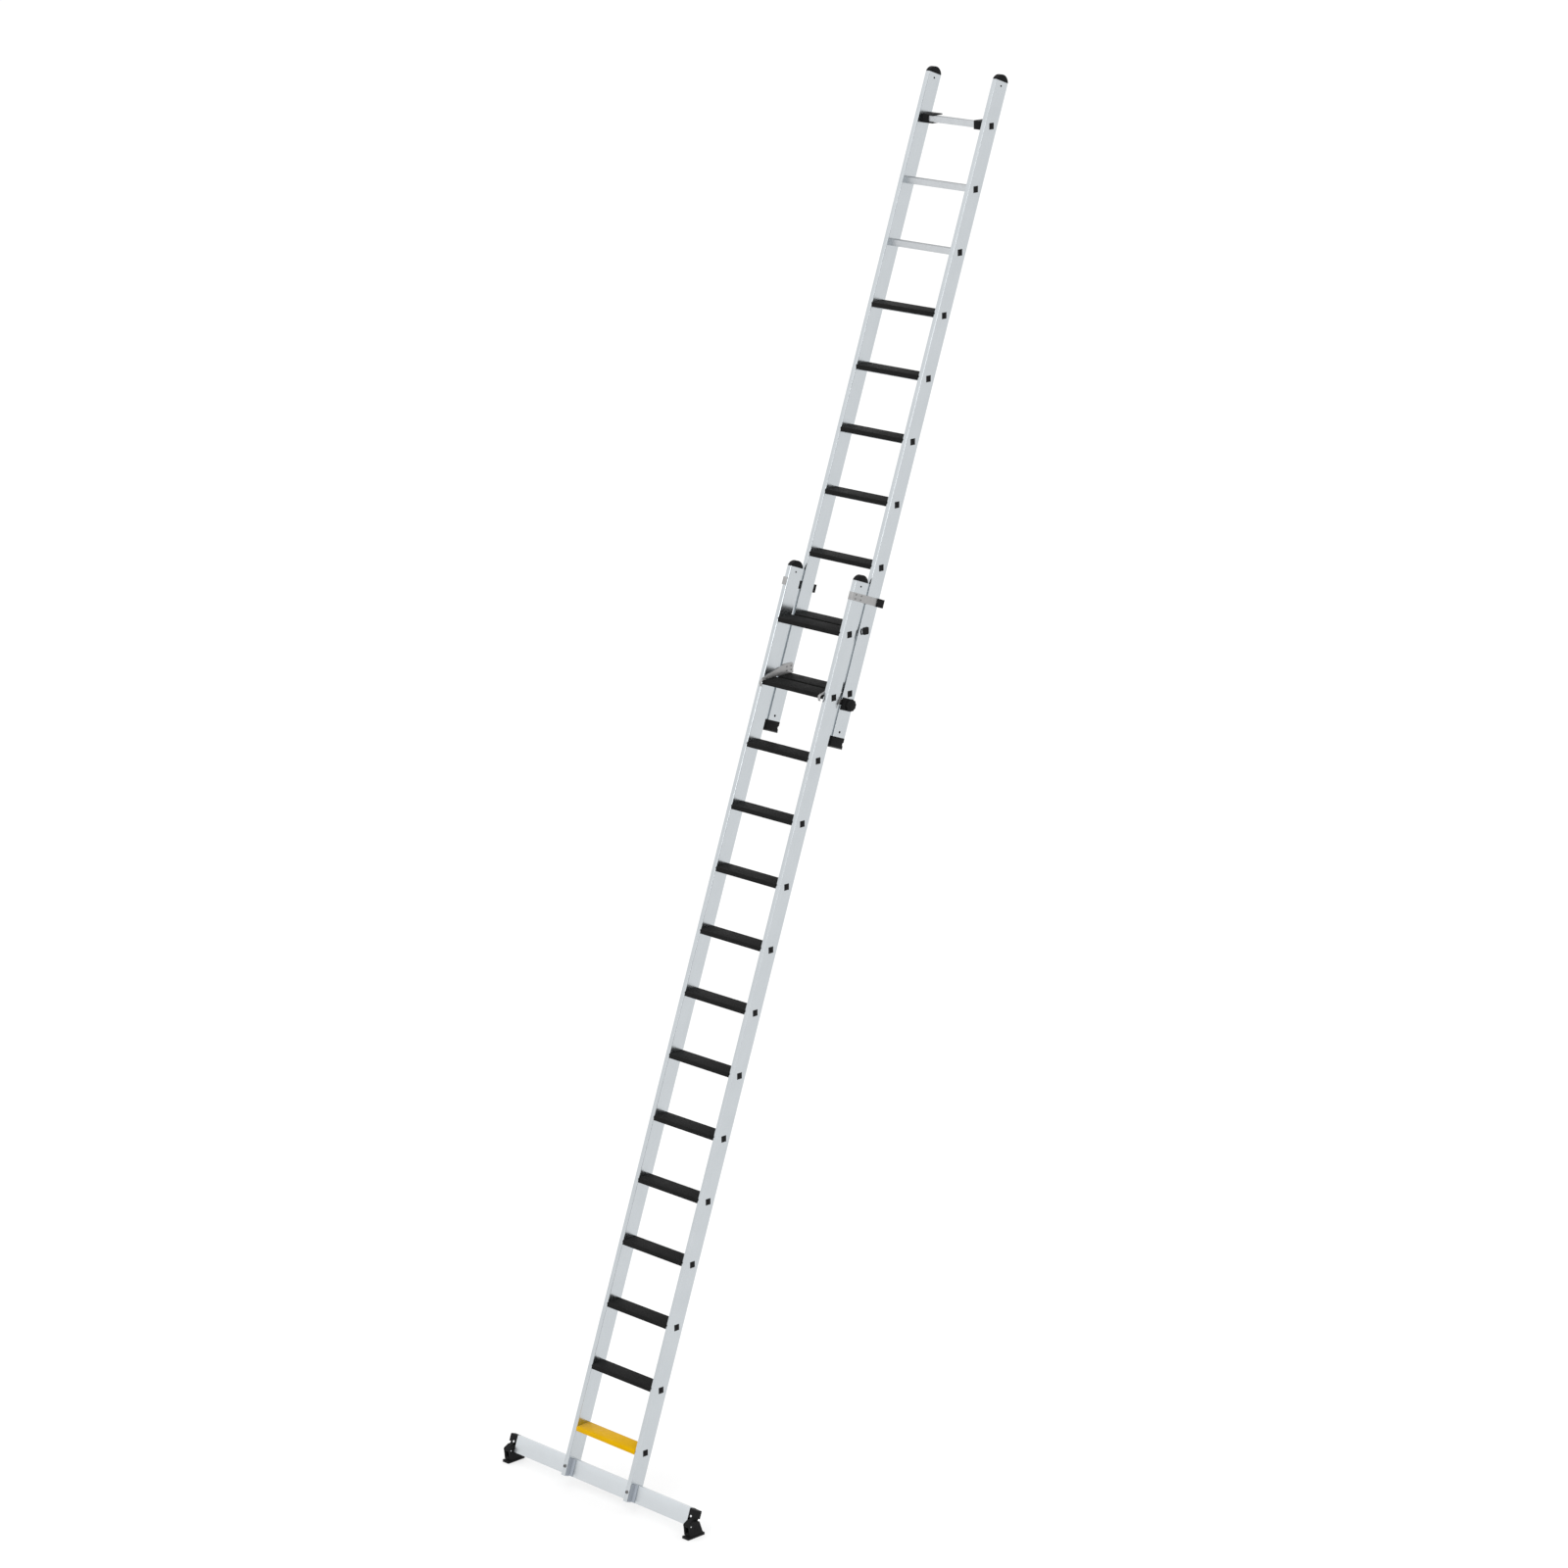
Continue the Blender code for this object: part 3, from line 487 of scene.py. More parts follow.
print("an outline helper is ready")

# %% [markdown]
# ## Softened edges
#
# No moulded or pressed piece has a knife edge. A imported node's mesh is loose triangles, so a copy is
# merged first, its flat faces are joined up again, and then its edges get a small round. The copy stands
# for the node, which stays hidden behind it.

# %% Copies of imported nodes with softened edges


def settle(name, mesh, material, body, replaced=()):
    """The finished piece: its place is in its mesh, and it stands for the nodes named."""
    piece = bpy.data.objects.new(name, mesh)
    bpy.context.scene.collection.objects.link(piece)
    mesh.materials.clear()
    mesh.materials.append(material)
    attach(piece, body)
    if replaced:
        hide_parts(*replaced)
    return piece


def softened(source, material, edge=0.0006, segments=2, keep_above=None):
    mesh = frame["nodes"][source].data.copy()
    mesh.name = source + "_soft"
    shape = bmesh.new()
    shape.from_mesh(mesh)
    bmesh.ops.remove_doubles(shape, verts=shape.verts, dist=0.00002)
    bmesh.ops.dissolve_limit(shape, angle_limit=math.radians(1.0), verts=shape.verts, edges=shape.edges)
    if keep_above is not None:
        everything = shape.verts[:] + shape.edges[:] + shape.faces[:]
        bmesh.ops.bisect_plane(shape, geom=everything, plane_co=(0, 0, keep_above), plane_no=(0, 0, -1),
                               clear_outer=True)
        bmesh.ops.holes_fill(shape, edges=[e for e in shape.edges if e.is_boundary], sides=0)
    if edge:
        corners = [e for e in shape.edges if e.is_manifold and e.calc_face_angle(0.0) > math.radians(28)]
        bmesh.ops.bevel(shape, geom=corners, offset=edge, segments=segments, affect="EDGES", profile=0.5,
                        clamp_overlap=True)
    bmesh.ops.recalc_face_normals(shape, faces=shape.faces)
    shape.to_mesh(mesh)
    shape.free()
    smooth(mesh)
    body = frame["nodes"][source]["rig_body"]
    return settle("soft_" + source, mesh, material, body, [source])


SIDES = (("left", -1), ("right", 1))

for word, side in SIDES:
    for section in ("base", "upper"):
        softened(f"{section}_stile_{word}", stile_metal, edge=0.0)
softened("stabiliser_bar", bar_metal, edge=0.0)
print("stiles and bar in place")

# %% [markdown]
# ## Three small geometry-node trees
#
# A ladder is mostly repetition, so three trees do the rest of the work. *Row* repeats one piece in equal
# steps up the ladder. *Fasteners* puts a screw, a rivet or a dark disc of painted shade at each marked point
# and turns it to face the way that the point says. *Grit* scatters small grains over the faces that a foot
# touches. Each one ends in Realize Instances and Set Material, and its result becomes a plain mesh.

# %% Helpers for geometry nodes
GEOMETRY = "NodeSocketGeometry"


def new_tree(name, inputs):
    tree = bpy.data.node_groups.new(name, "GeometryNodeTree")
    tree.interface.new_socket("Geometry", in_out="INPUT", socket_type=GEOMETRY)
    for label, kind in inputs:
        tree.interface.new_socket(label, in_out="INPUT", socket_type=kind)
    tree.interface.new_socket("Geometry", in_out="OUTPUT", socket_type=GEOMETRY)
    return tree, tree.nodes.new("NodeGroupInput"), tree.nodes.new("NodeGroupOutput")


def close_tree(tree, given, result, instances):
    """Realize the instances and give them the material, as the last two steps of every tree."""
    real = node(tree, "GeometryNodeRealizeInstances")
    dress = node(tree, "GeometryNodeSetMaterial")
    tree.links.new(instances, real.inputs["Geometry"])
    tree.links.new(real.outputs["Geometry"], dress.inputs["Geometry"])
    tree.links.new(given.outputs["Material"], dress.inputs["Material"])
    tree.links.new(dress.outputs["Geometry"], result.inputs["Geometry"])
    return tree


def run_tree(name, tree, mesh, values):
    """Run a tree on a mesh with named values, and return the result as a plain mesh."""
    holder = bpy.data.objects.new(name, mesh)
    bpy.context.scene.collection.objects.link(holder)
    modifier = holder.modifiers.new(name, "NODES")
    modifier.node_group = tree
    for item in tree.interface.items_tree:
        if item.in_out == "INPUT" and item.name in values:
            modifier[item.identifier] = values[item.name]
    bpy.context.view_layer.update()
    made = bpy.data.meshes.new_from_object(holder.evaluated_get(bpy.context.evaluated_depsgraph_get()))
    bpy.data.objects.remove(holder, do_unlink=True)
    return made


# %% Row: equal steps up the ladder


def row_tree():
    inputs = [("Count", "NodeSocketInt"), ("Step", VECTOR), ("Material", "NodeSocketMaterial")]
    tree, given, result = new_tree("row", inputs)
    line = node(tree, "GeometryNodeMeshLine", mode="OFFSET")
    copies = node(tree, "GeometryNodeInstanceOnPoints")
    tree.links.new(given.outputs["Count"], line.inputs["Count"])
    tree.links.new(given.outputs["Step"], line.inputs["Offset"])
    tree.links.new(line.outputs["Mesh"], copies.inputs["Points"])
    tree.links.new(given.outputs["Geometry"], copies.inputs["Instance"])
    return close_tree(tree, given, result, copies.outputs["Instances"])


ROW = row_tree()


def row(name, mesh, count, step, material, body, replaced=()):
    made = run_tree(name, ROW, mesh, {"Count": count, "Step": tuple(step), "Material": material})
    made.name = name
    return settle(name, smooth(made), material, body, replaced)


print("tree:", ROW.name)

# %% Fasteners: one at every marked point


def fastener_tree():
    inputs = [("Head", "NodeSocketObject"), ("Material", "NodeSocketMaterial")]
    tree, given, result = new_tree("fasteners", inputs)
    head = node(tree, "GeometryNodeObjectInfo")
    facing = node(tree, "GeometryNodeInputNamedAttribute", data_type="FLOAT_VECTOR")
    facing.inputs["Name"].default_value = "facing"
    turned = node(tree, "FunctionNodeAlignRotationToVector", axis="Z")
    copies = node(tree, "GeometryNodeInstanceOnPoints")
    tree.links.new(given.outputs["Head"], head.inputs["Object"])
    tree.links.new(facing.outputs["Attribute"], turned.inputs["Vector"])
    tree.links.new(given.outputs["Geometry"], copies.inputs["Points"])
    tree.links.new(head.outputs["Geometry"], copies.inputs["Instance"])
    tree.links.new(turned.outputs["Rotation"], copies.inputs["Rotation"])
    return close_tree(tree, given, result, copies.outputs["Instances"])


FASTENERS = fastener_tree()


def fasteners(name, head, spots, material, body, replaced=()):
    """head is a mesh that faces +Z; spots is a list of places and the directions in which the heads face."""
    marks = bpy.data.meshes.new(name + "_marks")
    marks.from_pydata([tuple(place) for place, _ in spots], [], [])
    facing = marks.attributes.new("facing", "FLOAT_VECTOR", "POINT")
    facing.data.foreach_set("vector", [value for _, way in spots for value in way])
    pattern = bpy.data.objects.new(name + "_head", head)
    bpy.context.scene.collection.objects.link(pattern)
    made = run_tree(name, FASTENERS, marks, {"Head": pattern, "Material": material})
    bpy.data.objects.remove(pattern, do_unlink=True)
    made.name = name
    return settle(name, smooth(made), material, body, replaced)


print("tree:", FASTENERS.name)

# %% Grit: grains scattered over the walking faces
FULL_TURN = 6.283
WALKING_WAY = (0.0, -0.6, 0.8)     # up and forward, where a foot meets the tread


def grit_tree():
    inputs = [("Density", FLOAT), ("Size", FLOAT), ("Reach", FLOAT), ("Seed", "NodeSocketInt"),
              ("Material", "NodeSocketMaterial")]
    tree, given, result = new_tree("grit", inputs)
    normal = node(tree, "GeometryNodeInputNormal")
    faces_out = node(tree, "ShaderNodeVectorMath", operation="DOT_PRODUCT")
    faces_out.inputs[1].default_value = WALKING_WAY
    walked = node(tree, "ShaderNodeMath", operation="GREATER_THAN")
    walked.inputs[1].default_value = 0.45
    scatter = node(tree, "GeometryNodeDistributePointsOnFaces")
    place = node(tree, "GeometryNodeInputPosition")
    axes = node(tree, "ShaderNodeSeparateXYZ")
    off_centre = node(tree, "ShaderNodeMath", operation="ABSOLUTE")
    past_reach = node(tree, "ShaderNodeMath", operation="GREATER_THAN")
    kept = node(tree, "GeometryNodeDeleteGeometry", domain="POINT")
    grain_shape = node(tree, "GeometryNodeMeshIcoSphere")
    grain_shape.inputs["Subdivisions"].default_value = 1
    size = node(tree, "FunctionNodeRandomValue", data_type="FLOAT")
    size.inputs[2].default_value = 0.45
    size.inputs[3].default_value = 1.0
    spin = node(tree, "FunctionNodeRandomValue", data_type="FLOAT_VECTOR")
    spin.inputs[1].default_value = (FULL_TURN, FULL_TURN, FULL_TURN)
    copies = node(tree, "GeometryNodeInstanceOnPoints")
    tree.links.new(normal.outputs["Normal"], faces_out.inputs[0])
    tree.links.new(faces_out.outputs["Value"], walked.inputs[0])
    tree.links.new(given.outputs["Geometry"], scatter.inputs["Mesh"])
    tree.links.new(walked.outputs["Value"], scatter.inputs["Selection"])
    tree.links.new(given.outputs["Density"], scatter.inputs["Density"])
    tree.links.new(given.outputs["Seed"], scatter.inputs["Seed"])
    tree.links.new(given.outputs["Size"], grain_shape.inputs["Radius"])
    tree.links.new(place.outputs["Position"], axes.inputs[0])
    tree.links.new(axes.outputs["X"], off_centre.inputs[0])
    tree.links.new(off_centre.outputs["Value"], past_reach.inputs[0])
    tree.links.new(given.outputs["Reach"], past_reach.inputs[1])
    tree.links.new(scatter.outputs["Points"], kept.inputs["Geometry"])
    tree.links.new(past_reach.outputs["Value"], kept.inputs["Selection"])
    tree.links.new(kept.outputs["Geometry"], copies.inputs["Points"])
    tree.links.new(grain_shape.outputs["Mesh"], copies.inputs["Instance"])
    tree.links.new(size.outputs[1], copies.inputs["Scale"])
    tree.links.new(spin.outputs[0], copies.inputs["Rotation"])
    return close_tree(tree, given, result, copies.outputs["Instances"])


GRIT = grit_tree()
print("tree:", GRIT.name)

# %% [markdown]
# ## Rungs
#
# A rung is a square tube pushed through both stiles, with shallow grooves along it so that a bare rung
# isn't slippery. One outline with grooved sides and a hole makes it, and the row tree repeats it. The
# rungs under treads are the same tube, and show at the tread's ends and from below.

# %% Grooved square tubes
RUNG = 0.028
RUNG_BORE = 0.0248
SHADE_DISC_THICK = 0.0011          # each rung stops this far inside the stile, for the disc of painted shade in its end
RUNG_LONG = 2 * (OUTER - SHADE_DISC_THICK)
GROOVE = 0.00035
GROOVES = 5


def grooved_square(half, radius):
    """A square with rounded corners and shallow grooves along each side."""
    points = []
    for quarter in range(4):
        a = math.radians(90 * quarter)
        side_points = arc((half - radius, -(half - radius)), radius, -90, 0, 3)
        run = 2 * (half - radius)
        for i in range(GROOVES):
            middle = -(half - radius) + run * (i + 0.5) / GROOVES
            width = run / GROOVES * 0.22
            side_points += [(half, middle - width * 1.5), (half - GROOVE, middle - width),
                            (half - GROOVE, middle + width), (half, middle + width * 1.5)]
        points += [(x * math.cos(a) - y * math.sin(a), x * math.sin(a) + y * math.cos(a))
                   for x, y in side_points]
    return points


def rung_mesh(name, centre):
    mesh = outline_mesh(name, [grooved_square(RUNG / 2, 0.002), rounded_square(RUNG_BORE / 2, 0.001, 2)],
                        RUNG_LONG)
    mesh.transform(Matrix.Translation(centre) @ ALONG_X)
    return mesh


RISE = UP * PITCH
BASE_RUNGS = 14
UPPER_TREADS = 7
BARE_RUNGS = 3
row("base_rungs", rung_mesh("base_rung", FIRST_RUNG["base"]), BASE_RUNGS, RISE, rung_metal,
    "base_section")
row("upper_rungs", rung_mesh("upper_rung", FIRST_RUNG["upper"]), UPPER_TREADS, RISE, rung_metal,
    "upper_section")
first_bare = rung_mesh("bare_rung", FIRST_RUNG["upper"] + RISE * UPPER_TREADS)
row("bare_rungs", first_bare, BARE_RUNGS, RISE, rung_metal,
    "upper_section", [f"upper_rung_{number:02d}" for number in (8, 9, 10)])
print("rung step in metres:", [round(v, 4) for v in RISE])

# %% [markdown]
# ## Treads
#
# A tread is a moulded channel with a flat top, a front lip and two legs that grip the rung. The outline
# runs once round that shape, and the bevel rounds its ends. The lowest one has a wider, rounder nose.

# %% Clip-on treads
TREAD_BACK = 0.040
TREAD_LIP = -0.0037
TREAD_THICK = 0.0026
TREAD_LONG = 2 * (INNER - 0.0003)
BLACK_NOSE = 0.004
YELLOW_NOSE = 0.008
BITE = RUNG / 2 + 0.00005


def tread_mesh(name, nose, centre):
    leg = RUNG / 2 + TREAD_THICK
    under = TREAD_TOP - TREAD_THICK
    front = arc((TREAD_FRONT + nose, TREAD_TOP - nose), nose, 180, 90, 8)
    rear = arc((TREAD_BACK - 0.003, TREAD_TOP - 0.003), 0.003, 90, 0, 4)
    inside = arc((TREAD_FRONT + nose, TREAD_TOP - nose), nose - TREAD_THICK, 90, 180, 6)
    if nose <= TREAD_THICK:
        inside = [(TREAD_FRONT + TREAD_THICK, under)]
    outline = ([(TREAD_FRONT, TREAD_LIP + 0.0008), *front, *rear, (TREAD_BACK, 0.004),
                (TREAD_BACK - TREAD_THICK, 0.0041), (TREAD_BACK - TREAD_THICK, under + 0.0003), (leg, under),
                (leg - 0.0004, -0.004), (BITE, -0.004), (BITE, BITE), (-BITE, BITE), (-BITE, -0.0045),
                (-leg + 0.0004, -0.0045), (-leg, under - 0.0003)] + inside
               + [(TREAD_FRONT + TREAD_THICK, TREAD_LIP), (TREAD_FRONT + 0.0008, TREAD_LIP)])
    mesh = outline_mesh(name, [outline], TREAD_LONG, rounding=0.0003)
    mesh.transform(Matrix.Translation(centre) @ ALONG_X)
    return mesh


first_black = tread_mesh("base_tread", BLACK_NOSE, FIRST_RUNG["base"] + RISE)
base_treads = row("base_treads", first_black, BASE_RUNGS - 1, RISE, tread_black,
                  "base_section",
                  [f"base_step_{number:02d}" for number in range(2, 15)])
first_upper = tread_mesh("upper_tread", BLACK_NOSE, FIRST_RUNG["upper"])
upper_treads = row("upper_treads", first_upper, UPPER_TREADS, RISE, tread_black,
                   "upper_section",
                   [f"upper_step_{number:02d}" for number in range(1, 8)])
settle("lowest_tread", tread_mesh("lowest_tread", YELLOW_NOSE, FIRST_RUNG["base"]), yellow, "base_section",
       ["base_step_01"])
print("black treads:", BASE_RUNGS - 1 + UPPER_TREADS)

# %% [markdown]
# ## Grit on the black treads
#
# The top and the front lip of each black tread are covered with mineral grains. They are real geometry
# here: small spheres of few faces, half sunk into the plastic, with a fixed seed for their places.

# %% Scatter the grains
GRAIN_SIZE = 0.00085
GRAIN_DENSITY = 9000.0
GRAIN_REACH = INNER - 0.006    # the tread's ends stay bare, so that a hook lies flat on them
for seed, (name, treads, body) in enumerate((("base_grit", base_treads, "base_section"),
                                             ("upper_grit", upper_treads, "upper_section"))):
    values = {"Density": GRAIN_DENSITY, "Size": GRAIN_SIZE, "Reach": GRAIN_REACH, "Seed": seed + 3,
              "Material": grit}
    grains = run_tree(name, GRIT, treads.data.copy(), values)
    grains.name = name
    settle(name, grains, grit, body)
    print(name, "has", len(grains.polygons), "faces")

# %% [markdown]
# ## Painted shade and flares at the rung ends
#
# Each rung is flared where it meets a stile's inner face, which locks it there, and a black disc closes its
# open end as painted shade for the dark inside of the tube. Both are small flat outlines, and the fastener
# tree puts one at every rung end.

# %% Rung ends
# A black disc closes each rung's open outer end. It is painted shade for the dark inside of the tube.
SHADE_DISC_PROUD = 0.0002
shade_disc = outline_mesh("rung_plug", [rounded_square(RUNG / 2 - 0.0001, 0.002, 3)], SHADE_DISC_THICK, rounding=0.0004)
shade_disc.transform(Matrix.Translation((0, 0, SHADE_DISC_PROUD - SHADE_DISC_THICK / 2)))
FLARE = 0.0012
flare = outline_mesh("rung_flare", [rounded_square(RUNG / 2 + FLARE, 0.0022),
                                    rounded_square(RUNG / 2 - 0.0002, 0.001, 2)], FLARE, rounding=0.0003)
flare.transform(Matrix.Translation((0, 0, FLARE / 3)))
for section, body, count in (("base", "base_section", BASE_RUNGS),
                             ("upper", "upper_section", UPPER_TREADS + BARE_RUNGS)):
    ends, faces = [], []
    for number in range(count):
        middle = FIRST_RUNG[section] + RISE * number
        for _, side in SIDES:
            ends.append((middle + ACROSS * side * OUTER, ACROSS * side))
            faces.append((middle + ACROSS * side * INNER, ACROSS * -side))
    fasteners(f"{section}_rung_plugs", shade_disc, ends, moulded, body)
    fasteners(f"{section}_rung_flares", flare, faces, stile_metal, body)
    print(section, "rung ends:", len(ends))

# %% [markdown]
# ## Screws and rivets
#
# A screw or rivet head is a short profile turned about its axis. Spin makes it, and the poles are merged
# so that the head is closed. A screw's profile dips in the middle, where the driver goes.

# %% Turned heads


def turned(name, profile, sides=20):
    """A closed head, from radius and height pairs that start and end on the axis. Its rings are laid one by
    one, so that its faces come in the same order each time."""
    mesh = bpy.data.meshes.new(name)
    shape = bmesh.new()
    turns = [math.tau * i / sides for i in range(sides)]
    rings = []
    for radius, level in profile:
        if radius == 0.0:
            rings.append([shape.verts.new((0.0, 0.0, level))] * sides)
        else:
            rings.append([shape.verts.new((radius * math.cos(a), radius * math.sin(a), level))
                          for a in turns])
    for low, high in zip(rings, rings[1:]):
        for i in range(sides):
            after = (i + 1) % sides
            corners = dict.fromkeys((low[i], low[after], high[after], high[i]))
            shape.faces.new(list(corners))
    bmesh.ops.recalc_face_normals(shape, faces=shape.faces)
    shape.to_mesh(mesh)
    shape.free()
    return smooth(mesh, 40.0)


def domed(radius, height):
    """The profile of a rivet head: a low dome on a thin edge, its foot a little below the surface."""
    rim = [(0.0, -0.0005), (radius, -0.0005), (radius, height * 0.25)]
    dome = [(radius * math.cos(a), height * (0.25 + 0.75 * math.sin(a)))
            for a in (math.radians(18 * i) for i in range(1, 5))]
    return rim + dome + [(0.0, height)]


rivet = turned("rivet_head", domed(0.0040, 0.0013))
foot_rivet = turned("foot_rivet_head", domed(0.0055, 0.0012))
big_rivet = turned("big_rivet_head", domed(0.0052, 0.0020))
screw = turned("screw_head", [(0.0, -0.0005), (0.0042, -0.0005), (0.0042, 0.0006), (0.0034, 0.0015),
                              (0.0021, 0.0019), (0.0019, 0.0008), (0.0, 0.0006)])
socket_head = turned("socket_head", [(0.0, -0.0005), (0.0075, -0.0005), (0.0075, 0.0026), (0.0062, 0.0042),
                                     (0.0038, 0.0047), (0.0034, 0.0022), (0.0, 0.0020)], 24)
print("heads:", rivet.name, big_rivet.name, screw.name, socket_head.name)

# %% [markdown]
# ## Caps and end feet
#
# A domed plastic cap closes the top of each stile and a screw holds it from both faces. The upper
# section's lower ends have thicker feet, notched at the back, each held by a rivet. A foot stands on a
# thin grey sole.

# %% Caps, feet and their fixings
CAP_SCREW = (0.038, 0.021)     # behind the front face, and below the stile's top
FOOT_RIVET = (0.036, -0.172)
STILE_TOP = {"base": 13 * PITCH + 0.233, "upper": 9 * PITCH + 0.198}

for section in ("base", "upper"):
    spots = []
    for word, side in SIDES:
        softened(f"{section}_top_cap_{word}", moulded, edge=0.0012, segments=3)
        for across, way in ((side * OUTER, side), (side * INNER, -side)):
            place = at(section, across, CAP_SCREW[0], STILE_TOP[section] - CAP_SCREW[1])
            spots.append((place, ACROSS * way))
    fasteners(f"{section}_cap_screws", screw, spots, dark_screw, f"{section}_section")

spots = []
for word, side in SIDES:
    softened(f"upper_end_foot_{word}", moulded, edge=0.0008)
    for across, way in ((side * OUTER, side), (side * INNER, -side)):
        spots.append((at("upper", across, *FOOT_RIVET), ACROSS * way))
fasteners("foot_rivets", foot_rivet, spots, dark_screw, "upper_section")

FOOT_BOTTOM = -0.2433
SOLE_HIGH = 0.0045
SHELL = 0.0003                 # the sole wraps the foot by this much
sole_back = STILE_DEEP + SHELL
sole_line = [(-SHELL, -SHELL), (sole_back, -SHELL), (sole_back, SOLE_HIGH), (-SHELL, SOLE_HIGH)]
for word, side in SIDES:
    sole = outline_mesh("foot_sole", [sole_line], STILE_WIDE + 2 * SHELL, rounding=0.0005)
    corner = at("upper", side * (OUTER - STILE_WIDE / 2), 0.0, FOOT_BOTTOM)
    sole.transform(Matrix.Translation(corner) @ TILT @ ALONG_X)
    settle(f"foot_sole_{word}", sole, grey_sole, "upper_section")
print("caps and feet in place")

# %% [markdown]
# ## Guide straps and pads
#
# A steel strap is riveted to the outside of each base stile and reaches back past the upper section,
# where a plastic pad on its end keeps that section in. Small plastic glides fill the gap between the
# sections at the same height.

# %% Straps, pads, rivets and glides
STRAP_LEVEL = 13 * PITCH + 0.164
STRAP_FACE = OUTER + 0.0033
spots = []
for word, side in SIDES:
    softened(f"guide_strap_{word}", zinc, edge=0.0004)
    softened(f"guide_pad_{word}", moulded, edge=0.0006)
    for depth in (0.018, 0.052):
        for level in (-0.009, 0.009):
            spots.append((at("base", side * STRAP_FACE, depth, STRAP_LEVEL + level), ACROSS * side))
fasteners("strap_rivets", rivet, spots, rivet_metal, "base_section")

GLIDE = 0.0045                 # half of its width
glide = outline_mesh("glide", [[(-GLIDE, -GLIDE), (GLIDE, -GLIDE), (GLIDE, GLIDE), (-GLIDE, GLIDE)]],
                     0.012, rounding=0.0008)
spots = []
for word, side in SIDES:
    for level in (-0.013, 0.013):
        spots.append((at("base", side * (INNER + 0.005), STILE_DEEP + 0.006, STRAP_LEVEL + level), BACK))
fasteners("gap_glides", glide, spots, moulded, "base_section")
print("straps in place at level", round(STRAP_LEVEL, 3))

# %% [markdown]
# ## Hooks
#
# Two pressed steel plates are riveted to the inner faces of the upper stiles. Their noses curl over a
# base tread, and that is what carries the extended section.

# %% Hooks and their rivets
HOOK_FACE = INNER - 0.0033
spots = []
for word, side in SIDES:
    softened(f"hook_{word}", zinc, edge=0.0005)
    for back, high in ((0.008, 0.032), (0.008, 0.050), (0.034, 0.032), (0.034, 0.050)):
        place = FIRST_RUNG["upper"] + Vector((side * HOOK_FACE, back, high))
        spots.append((place, ACROSS * -side))
fasteners("hook_rivets", rivet, spots, rivet_metal, "upper_section")
print("hook rivets:", len(spots))

# %% [markdown]
# ## Section lock
#
# A plastic block on the right stile carries a threaded stud and a grip knob. Turning the knob pulls a
# small metal tongue against the base stile. The knob is a disc with shallow lobes for the fingers and a
# raised boss: one lobed outline, and two turned discs for the boss and the collar.

# %% Lock block, tongue and lobed knob
KNOB_LOBES = 10
knob_low, knob_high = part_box("lock_knob")
block_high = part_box("lock_block")[1]
softened("lock_block", moulded, edge=0.0012, segments=3)
softened("lock_tongue", rivet_metal, edge=0.0003)


def lobed(radius, depth, lobes, steps=8):
    count = lobes * steps
    turns = [math.tau * i / count for i in range(count)]
    return [((radius - depth * (0.5 - 0.5 * math.cos(lobes * a))) * math.cos(a),
             (radius - depth * (0.5 - 0.5 * math.cos(lobes * a))) * math.sin(a)) for a in turns]


def joined(name, meshes):
    """Several closed meshes as one."""
    whole = bmesh.new()
    for mesh in meshes:
        whole.from_mesh(mesh)
    result = bpy.data.meshes.new(name)
    whole.to_mesh(result)
    whole.free()
    return smooth(result)


KNOB_RADIUS = 0.0275
KNOB_THICK = 0.014
LOBE_DEPTH = 0.0022
BOSS_PROUD = 0.002
knob_out = knob_high.x
knob_middle = Vector((0.0, (knob_low.y + knob_high.y) / 2, (knob_low.z + knob_high.z) / 2))
disc_thick = KNOB_THICK - BOSS_PROUD
disc = outline_mesh("knob_disc", [lobed(KNOB_RADIUS, LOBE_DEPTH, KNOB_LOBES)], disc_thick, rounding=0.0018)
disc.transform(Matrix.Translation((0, 0, knob_out - BOSS_PROUD - disc_thick / 2)))
boss = turned("knob_boss", [(0.0, knob_out - 0.004), (0.015, knob_out - 0.004), (0.015, knob_out - 0.0008),
                            (0.0135, knob_out), (0.0, knob_out)], 32)
stud = turned("knob_stud", [(0.0, knob_low.x), (0.0035, knob_low.x), (0.004, knob_low.x + 0.0005),
                            (0.004, knob_out - 0.008), (0.0, knob_out - 0.008)], 20)
collar = turned("knob_collar", [(0.0, block_high.x + 0.0003), (0.009, block_high.x + 0.0003),
                                (0.009, block_high.x + 0.004), (0.0, block_high.x + 0.004)], 24)
knob = joined("grip_knob", [disc, boss, collar])
knob.transform(Matrix.Translation(knob_middle) @ ALONG_X)
settle("grip_knob", knob, moulded, "lock_knob", ["lock_knob"])
stud.transform(Matrix.Translation(knob_middle) @ ALONG_X)
settle("knob_stud", stud, rivet_metal, "lock_knob")
print("knob centre:", [round(v, 4) for v in knob_middle], "outer face at", round(knob_out, 4))

# %% [markdown]
# ## Wall clips and the extension stop
#
# Two C-shaped clips sit on the top rung, where the ladder can be hooked or strapped to a pole. The stop
# is a rounded plug in the end of the second rung, with a curved rib in front of it. It keeps the sections
# from being pulled apart.

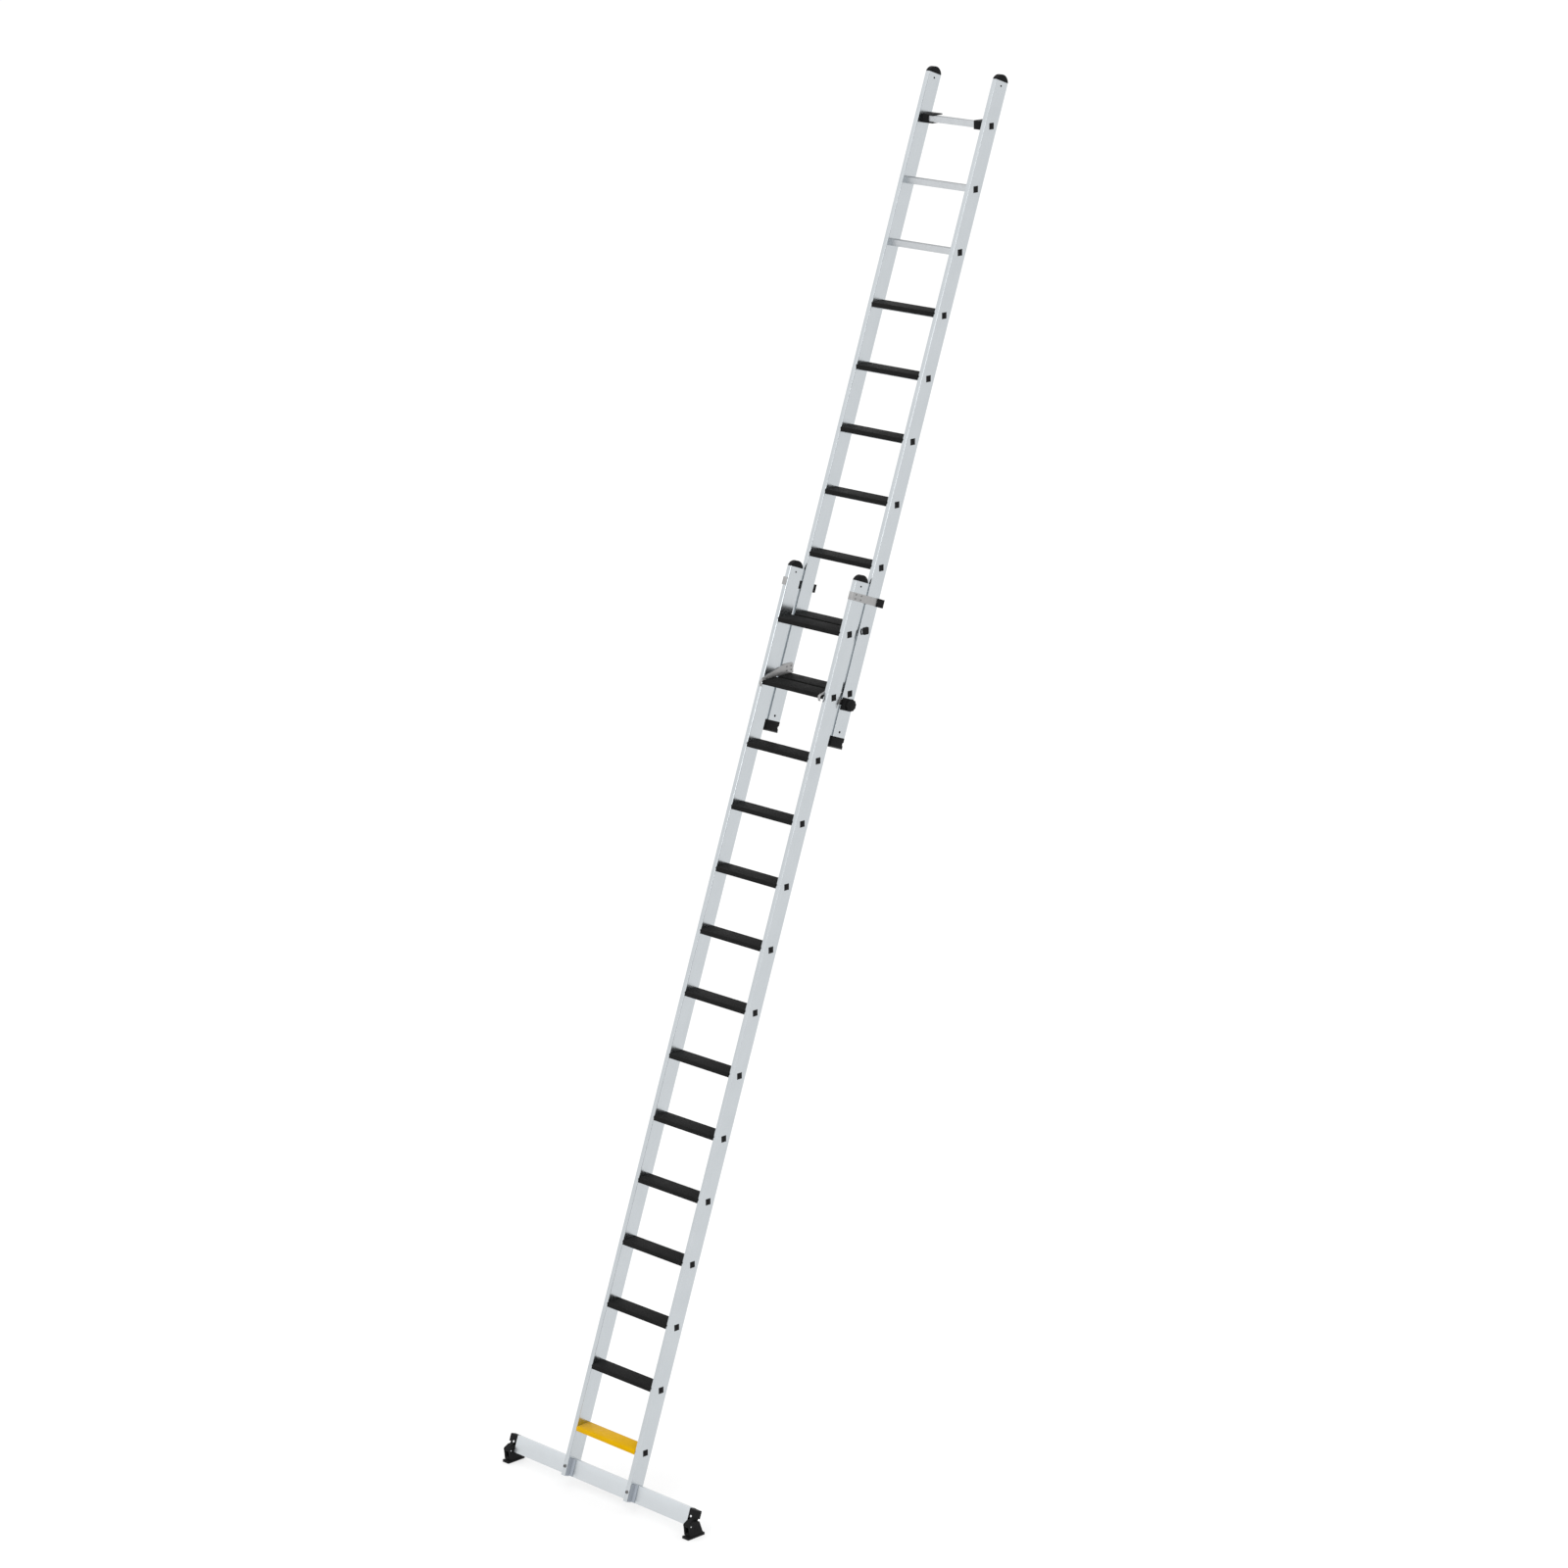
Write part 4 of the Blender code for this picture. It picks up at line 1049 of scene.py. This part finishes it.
# %% Clips and stop
for word, _ in SIDES:
    softened(f"wall_clip_{word}", moulded, edge=0.0008)
softened("extension_stop", moulded, edge=0.0010, segments=3)
CRESCENT_OUT = 0.0225
CRESCENT_IN = 0.0180
CRESCENT_THICK = 0.003
CRESCENT_FORWARD = Vector((0.0, 0.008, 0.0))
sickle = arc((0, 0), CRESCENT_OUT, 140, 220, 12) + arc((0, 0), CRESCENT_IN, 220, 140, 12)
crescent = outline_mesh("stop_crescent", [sickle], CRESCENT_THICK, rounding=0.0008)
stop_middle = FIRST_RUNG["upper"] + RISE
crescent_middle = stop_middle + ACROSS * (OUTER + CRESCENT_THICK / 2) - CRESCENT_FORWARD
crescent.transform(Matrix.Translation(crescent_middle) @ ALONG_X)
settle("stop_crescent", crescent, moulded, "upper_section")
print("stop at", [round(v, 3) for v in stop_middle])

# %% [markdown]
# ## Foot of the base section
#
# The stabiliser bar lies in a slot in both stiles. A pressed saddle spreads the load on each side of the
# stile, and a socket-head bolt goes through the stile, the saddle and the bar.

# %% Saddles and bolts
BAR_MIDDLE = -0.17985
spots = []
for word, side in SIDES:
    softened(f"bar_saddle_{word}", saddle_metal, edge=0.0002, segments=1)
    spots.append((at("base", side * (OUTER - STILE_WIDE / 2), -0.0003, BAR_MIDDLE), -BACK))
fasteners("bar_bolts", socket_head, spots, rivet_metal, "base_section",
          ["bar_bolt_left", "bar_bolt_right"])
print("bolts:", len(spots))

# %% [markdown]
# ## Tilting shoes
#
# Each shoe is a housing on the bar's end, a knuckle that pitches on a cross pin, and a sole that rolls on
# a second pin. The knuckle's cheeks carry fine upright ribs, and a rubber pad with cross grooves is
# bonded under the sole.

# %% Shoes
RIB_COUNT = 5
RIB_ROUND = 0.0006
RIB_LONG = 0.036
RIB_STEP = 0.008
FIRST_RIB = Vector((0.0, 0.030, 0.022))    # from the knuckle's low corner
PAD_LOW = 0.0008               # the lugs reach this far below the pad
PAD_HIGH = 0.0042
LUG_COUNT = 12
LUG_STEP = 0.0078
LUG_HALF = 0.0022
FIRST_LUG = 0.0066
LUG_INSET = 0.001
SHOE_RIVET = (0.572, 0.0285, -0.1745)
rib_line = arc((0, RIB_ROUND), RIB_ROUND, 0, 180, 3) + arc((0, -RIB_ROUND), RIB_ROUND, 180, 360, 3)
rib_tilt = Matrix.Rotation(LEAN * 0.3, 4, "X")
for word, side in SIDES:
    softened(f"shoe_housing_{word}", moulded, edge=0.0010, segments=3)
    softened(f"shoe_knuckle_{word}", moulded, edge=0.0008)
    softened(f"shoe_pin_{word}", bright_metal, edge=0.0004)
    softened(f"shoe_sole_{word}", moulded, edge=0.0008, keep_above=PAD_HIGH - 0.0002)

    cheek_low, cheek_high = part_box(f"shoe_knuckle_{word}")
    outer_x = cheek_high.x if side > 0 else cheek_low.x
    rib = outline_mesh("cheek_rib", [rib_line], RIB_LONG, rounding=0.0002)
    rib_place = Vector((outer_x, cheek_low.y, cheek_low.z)) + FIRST_RIB
    rib.transform(Matrix.Translation(rib_place) @ rib_tilt)
    row(f"cheek_ribs_{word}", rib, RIB_COUNT, (0.0, RIB_STEP, 0.0), moulded, f"shoe_{word}")

    low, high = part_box(f"shoe_sole_{word}")
    middle_x, middle_y = (low.x + high.x) / 2, (low.y + high.y) / 2
    half_x, half_y = (high.x - low.x) / 2, (high.y - low.y) / 2
    pad_line = [(x * half_x / 0.5, y * half_y / 0.5) for x, y in rounded_square(0.5, 0.07, 4)]
    pad = outline_mesh("rubber_pad", [pad_line], PAD_HIGH - PAD_LOW, rounding=0.0004)
    pad.transform(Matrix.Translation((middle_x, middle_y, (PAD_HIGH + PAD_LOW) / 2)))
    end = half_x - LUG_INSET
    lug = outline_mesh("pad_lug", [[(-end, -LUG_HALF), (end, -LUG_HALF), (end, LUG_HALF), (-end, LUG_HALF)]],
                       2 * PAD_LOW, rounding=0.0003)
    lug.transform(Matrix.Translation((middle_x, low.y + FIRST_LUG, PAD_LOW)))
    settle(f"rubber_pad_{word}", pad, rubber, f"sole_{word}")
    row(f"pad_lugs_{word}", lug, LUG_COUNT, (0.0, LUG_STEP, 0.0), rubber, f"sole_{word}")

    across, depth, level = SHOE_RIVET
    front = at("base", side * across, depth, level)
    fasteners(f"shoe_rivet_{word}", big_rivet, [(front, -BACK)], bright_metal, "base_section")
print("shoes in place")
